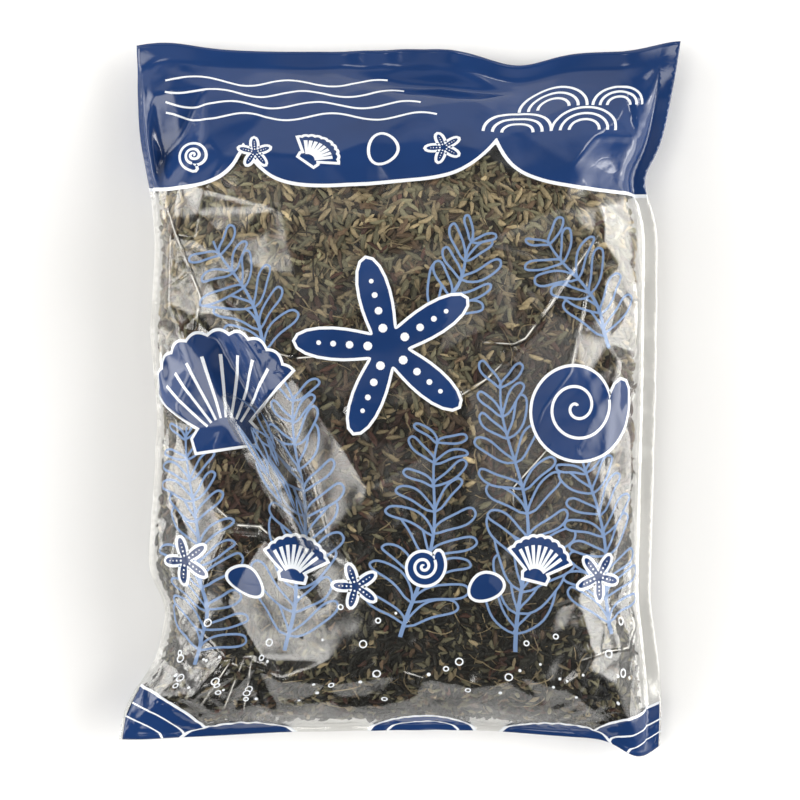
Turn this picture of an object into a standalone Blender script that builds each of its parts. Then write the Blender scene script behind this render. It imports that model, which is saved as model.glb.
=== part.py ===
"""A pillow pouch of clear film, packed with dried hijiki seaweed and lying on its back.

Metres, +Z up. The pouch's top edge points along +Y and its printed front faces +Z. The origin is on the
surface that the pouch lies on, under the middle of its bounding box.
"""

import math
import random

import bmesh
import bpy
import numpy as np
from mathutils import Vector
from mathutils.bvhtree import BVHTree

# The pouch: half widths are written as (share of the half length, millimetres) from the bottom edge up
LENGTH = 0.358
LEFT_REACH = [(-1.0, 146), (-0.9, 143), (-0.78, 127), (-0.62, 121), (-0.52, 131), (-0.28, 128),
              (-0.06, 126), (0.17, 130), (0.42, 127), (0.56, 129), (0.75, 136), (1.0, 138)]
RIGHT_REACH = [(-1.0, 137), (-0.86, 137), (-0.6, 130), (-0.4, 131), (0.0, 133), (0.46, 134),
               (0.54, 131), (0.61, 125), (0.70, 135), (0.82, 141), (1.0, 146)]
SIDE_SEAL = 0.060
END_SEAL = 0.050
WALL = 0.0006
SEAL_GAP = 0.0003

# The packed pouch
SEAM_HEIGHT = 0.024
END_HEIGHT = 0.014
FRONT_RISE = 0.034
BACK_DROP = 0.032
FILL_TOP = 0.50
FILL_BOTTOM = -0.82
CORNER_SLUMP = 0.16

# The seaweed, drawn larger than life and kept this far inside the film
CORE_DEPTH = 0.0045
LEAF_GAP = 0.0012
LEAF_LENGTH = 0.037
LEAF_WIDTH = 0.0108
LEAF_THICKNESS = 0.0068
LEAF_DEPTH = 0.0042
THREAD_LENGTH = 0.075
THREAD_RADIUS = 0.0010
CLUMP_GAP = 0.0006
CORE_WIDTH = 0.885
CORE_TOP = 0.55
CORE_BOTTOM = -0.875
PACKED_FROM = 0.34
SPLIT_HEIGHT = -0.068
SPLIT_SLOPE = 0.16
UPPER_LEAVES, UPPER_THREADS = 222, 5
LOWER_LEAVES, LOWER_THREADS = 108, 4
CANDIDATES = 14

# Mesh fineness
FILM_COLUMNS = 22
FILM_ROWS = 26
CORE_COLUMNS = 12
CORE_ROWS = 14
THREAD_SEGMENTS = 7
SEED = 7


def smooth(x, low, high):
    """0 below low, 1 above high, and an even S-curve between them."""
    t = np.clip((x - low) / (high - low), 0.0, 1.0)
    return t * t * (3.0 - 2.0 * t)


def bump(x, centre, width):
    return np.exp(-(((x - centre) / width) ** 2))


def along_profile(profile, t):
    """The profile's value at t, in metres, rounded off where its straight runs meet."""
    shares, values = np.array(profile).T
    steps = np.linspace(-0.04, 0.04, 5)
    near = [np.interp(np.clip(t + step, -1.0, 1.0), shares, values) for step in steps]
    return sum(near) / len(steps) / 1000


def level_place(s, t):
    """Where the point at shares s and t of the half width and half length stands, seen from above."""
    left, right = along_profile(LEFT_REACH, t), along_profile(RIGHT_REACH, t)
    x = np.where(s < 0, s * left, s * right)
    top_dip = 0.0080 * bump(s, 0.42, 0.15) - 0.0030 * bump(s, 1.0, 0.12) - 0.0035 * bump(s, -0.9, 0.15)
    bottom_dip = 0.0105 * bump(s, 0.92, 0.10) - 0.0020 * np.cos(4.0 * s)
    y = t * LENGTH / 2 - top_dip * smooth(t, 0.60, 1.0) - bottom_dip * smooth(-t, 0.72, 1.0)
    return x, y


def seam_height(s, t):
    """Height of the sealed rim, and of the middle surface that it carries on across the pouch."""
    height = SEAM_HEIGHT + (END_HEIGHT - SEAM_HEIGHT) * smooth(np.abs(t), 0.55, 1.0)
    height = height + 0.0045 * smooth(t, 0.6, 1.0) * np.sin(6.0 * s + 0.6)
    height = height + 0.0035 * smooth(-t, 0.75, 1.0) * np.sin(7.0 * s + 2.0)
    ears = smooth(np.abs(s), 0.78, 1.0) * smooth(np.abs(t), 0.80, 1.0)
    return height + 0.008 * ears * np.where(s * t > 0, 1.0, -0.4)


def fullness(s, t):
    """0 on the sealed rim to 1 over the packed middle."""
    inner = 1.0 - SIDE_SEAL
    across = np.clip(1.0 - np.abs(s / inner) ** 4.2, 0.0, 1.0) ** 0.55
    bottom = FILL_BOTTOM + CORNER_SLUMP * smooth(-s, 0.25, 0.95) + 0.04 * smooth(s, 0.6, 0.95)
    seal_at = 1.0 - END_SEAL
    up = np.clip((seal_at - t) / (seal_at - FILL_TOP), 0.0, 1.0)
    down = np.clip((seal_at + t) / (seal_at + bottom), 0.0, 1.0)
    return across * (1.0 - (1.0 - up) ** 1.8) * (1.0 - (1.0 - down) ** 2.2)


def crease(s, t, start, end, width):
    """1 along the straight line from start to end, falling to 0 at width to each side, all as shares."""
    along = np.array(end) - np.array(start)
    share = ((s - start[0]) * along[0] + (t - start[1]) * along[1]) / (along @ along)
    near = np.clip(share, 0.0, 1.0)
    away = np.hypot(s - start[0] - near * along[0], t - start[1] - near * along[1])
    return np.clip(1.0 - away / width, 0.0, 1.0)


def folds(s, t):
    """The large folds of the front film, as a change of height."""
    valley = -0.0070 * crease(s, t, (-0.72, 0.12), (-0.28, -0.58), 0.13)
    ridge = 0.0035 * crease(s, t, (-0.50, 0.18), (-0.06, -0.50), 0.12)
    right = -0.0050 * crease(s, t, (0.86, 0.45), (0.34, 0.12), 0.13)
    low = -0.0045 * crease(s, t, (0.80, -0.70), (0.40, -0.30), 0.13)
    swell = 0.0018 * np.sin(4.1 * s + 1.3) * np.cos(3.3 * t - 0.4)
    return (valley + ridge + right + low + swell) * smooth(fullness(s, t), 0.1, 0.7)


def front_height(s, t):
    return seam_height(s, t) + SEAL_GAP / 2 + FRONT_RISE * fullness(s, t) + folds(s, t)


def back_height(s, t):
    drop = BACK_DROP * fullness(s, t) ** 0.75
    return np.maximum(seam_height(s, t) - SEAL_GAP / 2 - drop, WALL)


def clear_scene():
    for obj in list(bpy.data.objects):
        bpy.data.objects.remove(obj, do_unlink=True)


def material(name, colour, roughness, alpha=1.0):
    made = bpy.data.materials.new(name)
    made.use_nodes = True
    shader = made.node_tree.nodes["Principled BSDF"]
    shader.inputs["Base Color"].default_value = (*colour, 1.0)
    shader.inputs["Roughness"].default_value = roughness
    shader.inputs["Alpha"].default_value = alpha
    return made


def collection(name, hidden=False):
    made = bpy.data.collections.new(name)
    bpy.context.scene.collection.children.link(made)
    made.hide_render = hidden
    return made


def put_in(obj, group):
    for owner in list(obj.users_collection):
        owner.objects.unlink(obj)
    group.objects.link(obj)


def eased(count):
    """Shares from -1 to 1 that stand closer together towards both ends."""
    even = np.linspace(-1.0, 1.0, count)
    return 0.45 * even + 0.55 * np.sin(even * math.pi / 2)


def film_panel(name, height, facing, finish, group):
    """One panel of the pouch, from rim to rim: its inner face, given a thickness towards the outside."""
    bpy.ops.mesh.primitive_grid_add(x_subdivisions=FILM_COLUMNS, y_subdivisions=FILM_ROWS, size=2.0)
    panel = bpy.context.object
    panel.name = name
    column_shares = eased(FILM_COLUMNS + 1)
    row_shares = eased(FILM_ROWS + 1)
    for vertex in panel.data.vertices:
        s = column_shares[round((vertex.co.x + 1.0) / 2.0 * FILM_COLUMNS)]
        t = row_shares[round((vertex.co.y + 1.0) / 2.0 * FILM_ROWS)]
        x, y = level_place(s, t)
        vertex.co = (x, y, height(s, t))
    if facing < 0:
        panel.data.flip_normals()
    wall = panel.modifiers.new("wall", "SOLIDIFY")
    wall.thickness = WALL
    wall.offset = 1.0
    panel.data.materials.append(finish)
    panel.data.shade_smooth()
    put_in(panel, group)
    return panel


def measured_surface(panel):
    """The inner face of a panel, to measure distances from."""
    points = [vertex.co.copy() for vertex in panel.data.vertices]
    return BVHTree.FromPolygons(points, [tuple(face.vertices) for face in panel.data.polygons])


def kept_inside(point, surfaces, gap):
    """The point, moved inwards where it is nearer to a panel than the gap or beyond it."""
    for surface in surfaces * 2:
        place, normal, _, _ = surface.find_nearest(point)
        if (place - point).dot(normal) < gap:
            point = place - normal * gap
    return point


def stays_clear(mesh, surfaces):
    """Whether the edges and faces of a shape keep off both panels."""
    middles = [(edge.verts[0].co + edge.verts[1].co) / 2 for edge in mesh.edges]
    middles += [face.calc_center_median() for face in mesh.faces]
    for middle in middles:
        for surface in surfaces:
            place, normal, _, _ = surface.find_nearest(middle)
            if (place - middle).dot(normal) < LEAF_GAP / 2:
                return False
    return True


def beyond_split(point, side):
    """How far the point stands past the plane between the two clumps, for the clump on this side of it."""
    across = (point.y - SPLIT_HEIGHT - SPLIT_SLOPE * point.x) / math.hypot(1.0, SPLIT_SLOPE)
    return CLUMP_GAP / 2 - side * across


def packed_place(s, t, under_front, surfaces):
    """A point of the clumps' core, under the front film or above the back film."""
    x, y = level_place(s, t)
    z = front_height(s, t) - CORE_DEPTH if under_front else back_height(s, t) + CORE_DEPTH
    return kept_inside(Vector((x, y, z)), surfaces, CORE_DEPTH)


def core_bottom(s):
    """Where the core ends above the bottom seal: higher up in the left corner, which has slumped empty."""
    return CORE_BOTTOM + CORNER_SLUMP * smooth(-s, 0.25, 0.95) + 0.05 * smooth(s, 0.6, 0.95)


def core(name, side, surfaces, finish, group):
    """The smaller solid middle of one clump, that its leaves stand out of."""
    bpy.ops.mesh.primitive_cube_add(size=2.0)
    body = bpy.context.object
    body.name = name
    mesh = bmesh.new()
    bmesh.ops.create_grid(mesh, x_segments=CORE_COLUMNS, y_segments=CORE_ROWS, size=1.0)
    top_faces = list(mesh.faces)
    made = bmesh.ops.extrude_face_region(mesh, geom=top_faces)
    upper = {element for element in made["geom"] if isinstance(element, bmesh.types.BMVert)}
    for vertex in mesh.verts:
        s = CORE_WIDTH * math.sin(vertex.co.x * math.pi / 2)
        away = (1.0 + side * vertex.co.y) / 2.0
        split_at = (SPLIT_HEIGHT + SPLIT_SLOPE * level_place(s, -0.4)[0]) * 2.0 / LENGTH
        end = CORE_TOP if side > 0 else core_bottom(s)
        point = packed_place(s, split_at + (end - split_at) * away, vertex in upper, surfaces)
        if away < 0.01:
            point.y += side * beyond_split(point, side) * math.hypot(1.0, SPLIT_SLOPE)
        vertex.co = point
    bmesh.ops.recalc_face_normals(mesh, faces=mesh.faces)
    mesh.to_mesh(body.data)
    mesh.free()
    body.data.materials.clear()
    body.data.materials.append(finish)
    put_in(body, group)
    return body


def packed(s, t):
    """Whether seaweed lies against the film at shares s and t."""
    return fullness(s, t) > PACKED_FROM and t < CORE_TOP + 0.02


def film_spots(side, count, draw):
    """Well-spread points of the film that one clump's leaves lie against, each with its inward direction."""
    spots = []
    while len(spots) < count:
        best, best_gap = None, -1.0
        for _ in range(CANDIDATES):
            s, t = draw.uniform(-0.925, 0.925), draw.uniform(-0.91, 0.58)
            on_front = draw.random() < 0.62
            height = front_height if on_front else back_height
            if not packed(s, t):
                continue
            x, y = level_place(s, t)
            point = Vector((x, y, height(s, t)))
            if beyond_split(point, side) > -0.004:
                continue
            gap = min(((point - other[0]).length for other in spots), default=1.0)
            if gap > best_gap:
                best, best_gap = (point, s, t, height, on_front), gap
        if best:
            spots.append(best)
    return spots


def inward(s, t, height, on_front):
    """The direction from the film at shares s and t into the pouch."""
    step = 0.02
    corners = []
    for ds, dt in ((-step, 0.0), (step, 0.0), (0.0, -step), (0.0, step)):
        x, y = level_place(s + ds, t + dt)
        corners.append(Vector((x, y, height(s + ds, t + dt))))
    normal = (corners[1] - corners[0]).cross(corners[3] - corners[2]).normalized()
    return -normal if on_front else normal


def flow_direction(point, into, draw, spread):
    """A direction along the film that neighbouring leaves roughly share."""
    angle = 2.2 * math.sin(19.0 * point.x + 1.0) + 1.7 * math.cos(16.0 * point.y - 0.5)
    angle += draw.gauss(0.0, spread)
    along = Vector((math.cos(angle), math.sin(angle), 0.0))
    along -= into * along.dot(into)
    return along.normalized()


def leaf(name, spot, side, surfaces, draw, group):
    """A plump pointed leaf against the film, with one end turned down into the clump."""
    point, s, t, height, on_front = spot
    into = inward(s, t, height, on_front)
    along = flow_direction(point, into, draw, 0.55)
    across = into.cross(along)
    length = LEAF_LENGTH * draw.uniform(0.75, 1.25)
    bend = draw.uniform(-0.22, 0.22) * length
    dive = draw.uniform(0.0, 0.16) * length
    centre = point + into * (LEAF_DEPTH + draw.uniform(0.0, 0.0012))
    turn = draw.uniform(0.0, 2.0)
    mesh = bmesh.new()
    bmesh.ops.create_uvsphere(mesh, u_segments=3, v_segments=3, radius=1.0)
    for vertex in mesh.verts:
        reach = vertex.co.z
        girth = 0.88 if abs(reach) < 0.9 else 0.0
        ring = math.atan2(vertex.co.y, vertex.co.x) + turn
        wide = math.cos(ring) * math.hypot(vertex.co.x, vertex.co.y) * girth * LEAF_WIDTH / 2
        thick = math.sin(ring) * math.hypot(vertex.co.x, vertex.co.y) * girth * LEAF_THICKNESS / 2
        moved = centre + along * (reach * length / 2) + across * (wide + bend * (reach**2 - 0.5))
        moved += into * (thick + dive * (reach + 0.25))
        vertex.co = kept_inside(moved, surfaces, LEAF_GAP + draw.uniform(0.0, 0.0007))
    past = max(beyond_split(vertex.co, side) for vertex in mesh.verts) + draw.uniform(0.0004, 0.0016)
    if past > 0:
        for vertex in mesh.verts:
            vertex.co.y += side * past * math.hypot(1.0, SPLIT_SLOPE)
            vertex.co = kept_inside(vertex.co, surfaces, LEAF_GAP + draw.uniform(0.0, 0.0007))
    bmesh.ops.delete(mesh, geom=mesh.edges, context="EDGES_FACES")
    bmesh.ops.convex_hull(mesh, input=mesh.verts)
    bmesh.ops.recalc_face_normals(mesh, faces=mesh.faces)
    if stays_clear(mesh, surfaces):
        data = bpy.data.meshes.new(name)
        mesh.to_mesh(data)
        group.objects.link(bpy.data.objects.new(name, data))
    mesh.free()


def thread(name, spot, side, surfaces, draw, group):
    """A thin curling stem against the film, with both ends sunk into the clump."""
    point, s, t, height, on_front = spot
    into = inward(s, t, height, on_front)
    along = flow_direction(point, into, draw, 0.9)
    across = into.cross(along)
    curl = draw.uniform(0.10, 0.20) * draw.choice((-1, 1)) * THREAD_LENGTH
    sway = draw.uniform(2.0, 4.0)
    line = bpy.data.curves.new(name, "CURVE")
    line.dimensions = "3D"
    spline = line.splines.new("POLY")
    spline.points.add(THREAD_SEGMENTS)
    for index, place in enumerate(spline.points):
        reach = 2.0 * index / THREAD_SEGMENTS - 1.0
        moved = point + along * (reach * THREAD_LENGTH / 2) + across * (curl * math.cos(sway * reach))
        moved += into * (LEAF_GAP + 1.5 * THREAD_RADIUS + 0.0075 * reach**6)
        if beyond_split(moved, side) > -THREAD_RADIUS * 1.5:
            past = beyond_split(moved, side) + THREAD_RADIUS * 1.5
            moved.y += side * past * math.hypot(1.0, SPLIT_SLOPE)
        place.co = (*kept_inside(moved, surfaces, LEAF_GAP + 1.5 * THREAD_RADIUS), 1.0)
    line.bevel_depth = THREAD_RADIUS
    line.bevel_resolution = 0
    line.use_fill_caps = True
    stem = bpy.data.objects.new(name, line)
    group.objects.link(stem)
    bpy.context.view_layer.objects.active = stem
    bpy.ops.object.select_all(action="DESELECT")
    stem.select_set(True)
    bpy.ops.object.convert(target="MESH")
    mesh = bmesh.new()
    mesh.from_mesh(stem.data)
    bmesh.ops.remove_doubles(mesh, verts=mesh.verts, dist=1e-6)
    mesh.to_mesh(stem.data)
    if not stays_clear(mesh, surfaces):
        bpy.data.objects.remove(stem, do_unlink=True)
    mesh.free()


def keep_outer_shell(body):
    """Fills the hollows that fusing sealed, and drops loose scraps, by keeping only the largest shell."""
    mesh = bmesh.new()
    mesh.from_mesh(body.data)
    unseen = set(mesh.verts)
    shells = []
    while unseen:
        shell, edge = set(), [unseen.pop()]
        while edge:
            vertex = edge.pop()
            shell.add(vertex)
            beside = {link.other_vert(vertex) for link in vertex.link_edges} & unseen
            unseen -= beside
            edge.extend(beside)
        shells.append(shell)
    largest = max(shells, key=len)
    bmesh.ops.delete(mesh, geom=[v for v in mesh.verts if v not in largest], context="VERTS")
    mesh.to_mesh(body.data)
    mesh.free()


def clump(name, side, leaves, threads, seed, surfaces, finish, group):
    """The leaves and stems of one half of the filling, fused with their core into one body."""
    body = core(name, side, surfaces, finish, group)
    draw = random.Random(seed)
    repeats = collection(name + "_repeats")
    for index, spot in enumerate(film_spots(side, leaves, draw)):
        leaf(f"leaf_{index}", spot, side, surfaces, draw, repeats)
    for index, spot in enumerate(film_spots(side, threads, draw)):
        thread(f"thread_{index}", spot, side, surfaces, draw, repeats)
    join = body.modifiers.new("join", "BOOLEAN")
    join.operation = "UNION"
    join.operand_type = "COLLECTION"
    join.collection = repeats
    join.solver = "EXACT"
    bpy.context.view_layer.objects.active = body
    bpy.ops.object.modifier_apply(modifier=join.name)
    for repeat in list(repeats.objects):
        bpy.data.objects.remove(repeat, do_unlink=True)
    bpy.data.collections.remove(repeats)
    keep_outer_shell(body)
    return body


def centre_on_origin(objects):
    """Moves the pouch level, so that the middle of its bounding box stands over the origin."""
    bpy.context.view_layer.update()
    graph = bpy.context.evaluated_depsgraph_get()
    corners = [Vector(corner) for obj in objects for corner in obj.evaluated_get(graph).bound_box]
    x_values = [corner.x for corner in corners]
    y_values = [corner.y for corner in corners]
    shift = Vector(((min(x_values) + max(x_values)) / 2, (min(y_values) + max(y_values)) / 2, 0.0))
    for obj in objects:
        for vertex in obj.data.vertices:
            vertex.co -= shift


def main():
    clear_scene()
    pouch = collection("pouch_of_hijiki")
    film = material("clear_film", (0.80, 0.84, 0.88), 0.12, 0.35)
    brown = material("olive_brown_seaweed", (0.085, 0.060, 0.035), 0.75)
    black = material("black_green_seaweed", (0.022, 0.024, 0.014), 0.75)
    front = film_panel("film_front", front_height, 1, film, pouch)
    back = film_panel("film_back", back_height, -1, film, pouch)
    surfaces = [measured_surface(front), measured_surface(back)]
    clump("hijiki_upper", 1, UPPER_LEAVES, UPPER_THREADS, SEED, surfaces, brown, pouch)
    clump("hijiki_lower", -1, LOWER_LEAVES, LOWER_THREADS, SEED + 1, surfaces, black, pouch)
    centre_on_origin(list(pouch.objects))


main()
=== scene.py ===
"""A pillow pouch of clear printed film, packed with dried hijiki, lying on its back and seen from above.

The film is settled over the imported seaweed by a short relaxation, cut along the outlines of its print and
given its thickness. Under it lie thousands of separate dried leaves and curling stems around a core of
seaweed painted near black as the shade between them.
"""

import math
import random

import bpy
import numpy as np
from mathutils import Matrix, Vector, geometry


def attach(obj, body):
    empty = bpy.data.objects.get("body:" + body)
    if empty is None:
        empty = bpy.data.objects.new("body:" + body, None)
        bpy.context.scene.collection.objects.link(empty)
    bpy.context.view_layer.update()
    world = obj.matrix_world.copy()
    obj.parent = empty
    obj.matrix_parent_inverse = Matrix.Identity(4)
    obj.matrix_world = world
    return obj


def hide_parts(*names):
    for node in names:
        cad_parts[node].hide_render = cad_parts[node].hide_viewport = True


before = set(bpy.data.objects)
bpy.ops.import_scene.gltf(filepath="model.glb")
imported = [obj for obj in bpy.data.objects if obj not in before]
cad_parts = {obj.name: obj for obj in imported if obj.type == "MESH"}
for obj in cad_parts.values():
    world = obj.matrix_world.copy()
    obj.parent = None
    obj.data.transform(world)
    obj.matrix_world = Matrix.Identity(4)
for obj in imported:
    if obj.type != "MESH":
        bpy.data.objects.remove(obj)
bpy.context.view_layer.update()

SEED = 11

# The pouch's form, over shares of its half width (s) and half length (t). It follows the solids, but its left
# and bottom seals are narrower and its foot slopes more gently, as in the photograph. Lengths are in metres,
# seals and the ends of the filling are shares, and a reach is the half width in millimetres at each t
LENGTH = 0.358
HALF_WIDTH = 0.132
LEFT_REACH = [(-1.0, 146), (-0.9, 143), (-0.78, 127), (-0.62, 121), (-0.52, 131), (-0.28, 128),
              (-0.06, 126), (0.17, 130), (0.42, 127), (0.56, 129), (0.75, 136), (1.0, 138)]
RIGHT_REACH = [(-1.0, 137), (-0.86, 137), (-0.6, 130), (-0.4, 131), (0.0, 133), (0.46, 134),
               (0.54, 131), (0.61, 125), (0.70, 135), (0.82, 141), (1.0, 146)]
LEFT_SEAL = 0.016
RIGHT_SEAL = 0.060
TOP_SEAL = 0.050
BOTTOM_SEAL = 0.016
SEAM_HEIGHT = 0.024
END_HEIGHT = 0.014
FRONT_RISE = 0.034
BACK_DROP = 0.032
FILL_TOP = 0.50
FILL_BOTTOM = -0.77
CORNER_SLUMP = 0.16
FLOOR_GAP = 0.0006
SPLIT_HEIGHT = -0.0636
SPLIT_SLOPE = 0.16

# The film: how finely it is modelled, how it settles, and how much longer than its place it is, as shares
SEAL_STEPS = 4
COLUMN_STEPS = 156
ROW_STEPS = 214
FILM_THICKNESS = 0.00016
SEAL_SPREAD = 0.0002
SETTLE_STEPS = 60
SWING_KEPT = 0.85
HELD_INSIDE = 0.02
HELD_AT_SEALS = 0.25
SPARE_FILM = 0.003
SPARE_AT_EDGES = 0.008
SPARE_IN_CRINKLES = 0.03


def smooth(x, low, high):
    """0 below low, 1 above high, and an even S-curve between them."""
    t = np.clip((x - low) / (high - low), 0.0, 1.0)
    return t * t * (3.0 - 2.0 * t)


def unit(vectors):
    """The same directions at a length of 1, along the last axis."""
    return vectors / np.maximum(np.linalg.norm(vectors, axis=-1, keepdims=True), 1e-12)


def bump(x, centre, width):
    """A rounded hump: 1 at its centre, and nearly 0 from two widths away."""
    return np.exp(-(((x - centre) / width) ** 2))


def along_profile(profile, t):
    """The profile's value at t, in metres, rounded off where its straight runs meet."""
    shares, values = np.array(profile).T
    steps = np.linspace(-0.04, 0.04, 5)
    near = [np.interp(np.clip(t + step, -1.0, 1.0), shares, values) for step in steps]
    return sum(near) / len(steps) / 1000


def level_place(s, t):
    """Where the point at shares s and t stands, seen from above and before the pouch is centred."""
    left, right = along_profile(LEFT_REACH, t), along_profile(RIGHT_REACH, t)
    x = np.where(s < 0, s * left, s * right)
    top_dip = 0.0080 * bump(s, 0.42, 0.15) - 0.0030 * bump(s, 1.0, 0.12) - 0.0035 * bump(s, -0.9, 0.15)
    bottom_dip = 0.0105 * bump(s, 0.92, 0.10) - 0.0020 * np.cos(4.0 * s)
    y = t * LENGTH / 2 - top_dip * smooth(t, 0.60, 1.0) - bottom_dip * smooth(-t, 0.72, 1.0)
    return x, y


def seam_height(s, t):
    """Height of the sealed rim, and of the middle surface that it carries on across the pouch."""
    height = SEAM_HEIGHT + (END_HEIGHT - SEAM_HEIGHT) * smooth(np.abs(t), 0.55, 1.0)
    height = height + 0.0045 * smooth(t, 0.6, 1.0) * np.sin(6.0 * s + 0.6)
    height = height + 0.0035 * smooth(-t, 0.75, 1.0) * np.sin(7.0 * s + 2.0)
    ears = smooth(np.abs(s), 0.78, 1.0) * smooth(np.abs(t), 0.80, 1.0)
    return height + 0.008 * ears * np.where(s * t > 0, 1.0, -0.4)


def fullness(s, t):
    """0 on the sealed rim to 1 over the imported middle."""
    inner = np.where(s < 0, 1.0 - LEFT_SEAL, 1.0 - RIGHT_SEAL)
    across = np.clip(1.0 - np.abs(s / inner) ** 4.2, 0.0, 1.0) ** 0.55
    bottom = FILL_BOTTOM + CORNER_SLUMP * smooth(-s, 0.25, 0.95) + 0.04 * smooth(s, 0.6, 0.95)
    up = np.clip((1.0 - TOP_SEAL - t) / (1.0 - TOP_SEAL - FILL_TOP), 0.0, 1.0)
    down = np.clip((1.0 - BOTTOM_SEAL + t) / (1.0 - BOTTOM_SEAL + bottom), 0.0, 1.0)
    return across * (1.0 - (1.0 - up) ** 1.8) * (1.0 - (1.0 - down) ** 2.0)


def fold_share(s, t, start, end, width):
    """1 along the straight line from start to end, falling to 0 at width to each side, all as shares."""
    along = np.array(end) - np.array(start)
    share = ((s - start[0]) * along[0] + (t - start[1]) * along[1]) / (along @ along)
    near = np.clip(share, 0.0, 1.0)
    away = np.hypot(s - start[0] - near * along[0], t - start[1] - near * along[1])
    return np.clip(1.0 - away / width, 0.0, 1.0)


def folds(s, t):
    """The large folds of the front film and the slight swell between them, as a change of height."""
    valley = -0.0070 * fold_share(s, t, (-0.72, 0.12), (-0.28, -0.58), 0.13)
    ridge = 0.0035 * fold_share(s, t, (-0.50, 0.18), (-0.06, -0.50), 0.12)
    right = -0.0050 * fold_share(s, t, (0.86, 0.45), (0.34, 0.12), 0.13)
    low = -0.0045 * fold_share(s, t, (0.80, -0.70), (0.40, -0.30), 0.13)
    swell = 0.0018 * np.sin(4.1 * s + 1.3) * np.cos(3.3 * t - 0.4)
    return (valley + ridge + right + low + swell) * smooth(fullness(s, t), 0.1, 0.7)


def front_height(s, t):
    """Height of the front film's general form, with its large folds."""
    return seam_height(s, t) + FRONT_RISE * fullness(s, t) + folds(s, t)


def back_height(s, t):
    """Height of the back film, which lies on the floor where it would hang below it."""
    drop = BACK_DROP * fullness(s, t) ** 0.75
    return np.maximum(seam_height(s, t) - drop, FLOOR_GAP)


def pouch_centre():
    """The middle of the pouch's outline, which is moved over the origin."""
    s, t = np.meshgrid(np.linspace(-1, 1, 201), np.linspace(-1, 1, 201))
    x, y = level_place(s, t)
    return (x.min() + x.max()) / 2, (y.min() + y.max()) / 2


CENTRE = pouch_centre()


def surface(s, t, height):
    """Points of one of the pouch's surfaces, as an array that ends in x, y, z."""
    x, y = level_place(s, t)
    return np.stack([x - CENTRE[0], y - CENTRE[1], height(s, t)], axis=-1)


def flat_lengths(points):
    """How far along its line each point lies, as if the line were pulled straight."""
    return np.concatenate([[0.0], np.cumsum(np.linalg.norm(np.diff(points, axis=0), axis=1))])


def equal_steps(curve, low, high, count):
    """Shares from low to high whose points stand at equal lengths along a curve."""
    fine = np.linspace(low, high, 2001)
    walked = flat_lengths(curve(fine))
    return np.interp(np.linspace(0.0, walked[-1], count + 1), walked, fine)


def with_seals(inner):
    """The shares inside the seals, with a few even steps across each seal added at both ends."""
    low = np.linspace(-1.0, inner[0], SEAL_STEPS + 1)[:-1]
    high = np.linspace(inner[-1], 1.0, SEAL_STEPS + 1)[1:]
    return np.concatenate([low, inner, high])


LEFT_INNER, RIGHT_INNER = LEFT_SEAL - 1.0, 1.0 - RIGHT_SEAL
LOW_INNER, HIGH_INNER = BOTTOM_SEAL - 1.0, 1.0 - TOP_SEAL
COLUMN_S = with_seals(
    equal_steps(lambda s: surface(s, 0 * s, front_height), LEFT_INNER, RIGHT_INNER, COLUMN_STEPS))
ROW_T = with_seals(
    equal_steps(lambda t: surface(0 * t, t, front_height), LOW_INNER, HIGH_INNER, ROW_STEPS))
FLAT_U = flat_lengths(surface(COLUMN_S, 0 * COLUMN_S, front_height))
FLAT_V = flat_lengths(surface(0 * ROW_T, ROW_T, front_height))
FLAT_U -= np.interp(0.0, COLUMN_S, FLAT_U)
FLAT_V -= np.interp(0.0, ROW_T, FLAT_V)

# Fold lines of the front film: each point is x and y in millimetres, seen from above, and the height in
# millimetres by which the film lies over the pouch's general form there
FOLD_LINES = [
    [(-92, 31, -3.0), (-72, -5, -8.0), (-51, -39, -8.5), (-42, -75, -6.0)],
    [(-101, 21, 0.0), (-84, -10, -3.4), (-63, -44, -3.6), (-48, -78, -4.0)],
    [(-106, 16, -2.0), (-90, -13, -6.0), (-69, -49, -6.5), (-54, -80, -5.0)],
    [(101, 84, 1.0), (78, 44, 3.2)],
    [(34, 4, 2.2), (4, -3, 1.4), (-34, -1, 1.0)],
    [(60, -50, 0.8), (30, -66, -1.2), (22, -96, -0.8)],
    [(-73, -134, -2.0), (-106, -152, 2.2)],
    [(-73, -134, -2.0), (-95, -172, 1.6)],
    [(-73, -134, -2.0), (-62, -168, 2.0)],
    [(112, 20, 1.6), (106, -30, -2.0), (112, -70, 1.5)],
    [(-120, -40, 1.4), (-106, -78, -2.2), (-112, -112, 1.6)],
    [(-60, 96, 0.8), (-20, 70, -0.8), (40, 78, 0.6), (92, 66, -0.6)],
]
# Its largest flat facets: the tilt and the direction it faces in degrees, the lift of the first corner, and
# the corners in millimetres
FACETS = [
    (8, 202, 1.5, [(-41, -3), (-83, 42), (-66, -3), (-45, -38), (-37, -68), (-15, -44)]),
    (15, 204, 0.5, [(-39, -107), (-69, -69), (-89, -102), (-71, -131)]),
    (15, 190, 1.0, [(-97, 60), (-104, 82), (-117, 84), (-118, 50), (-104, 44)]),
    (10, 350, 2.0, [(42, 8), (74, 38), (88, 34), (77, -4), (61, -44), (51, -24)]),
    (12, 345, 1.0, [(66, -54), (74, -80), (97, -74), (103, -42), (88, -26)]),
    (12, 300, 0.0, [(58, -108), (90, -100), (98, -128), (80, -146), (60, -138)]),
    (14, 200, 0.0, [(-129, 158), (-118, 160), (-114, 134), (-122, 126), (-131, 140)]),
    (30, 10, 0.0, [(102, 97), (118, 101), (122, 74), (112, 69), (102, 83)]),
    (28, 0, 0.0, [(104, -28), (120, -25), (122, -52), (112, -57), (104, -44)]),
]
FACET_SPACING = 0.025
EDGE_SPACING = 0.0125


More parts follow.
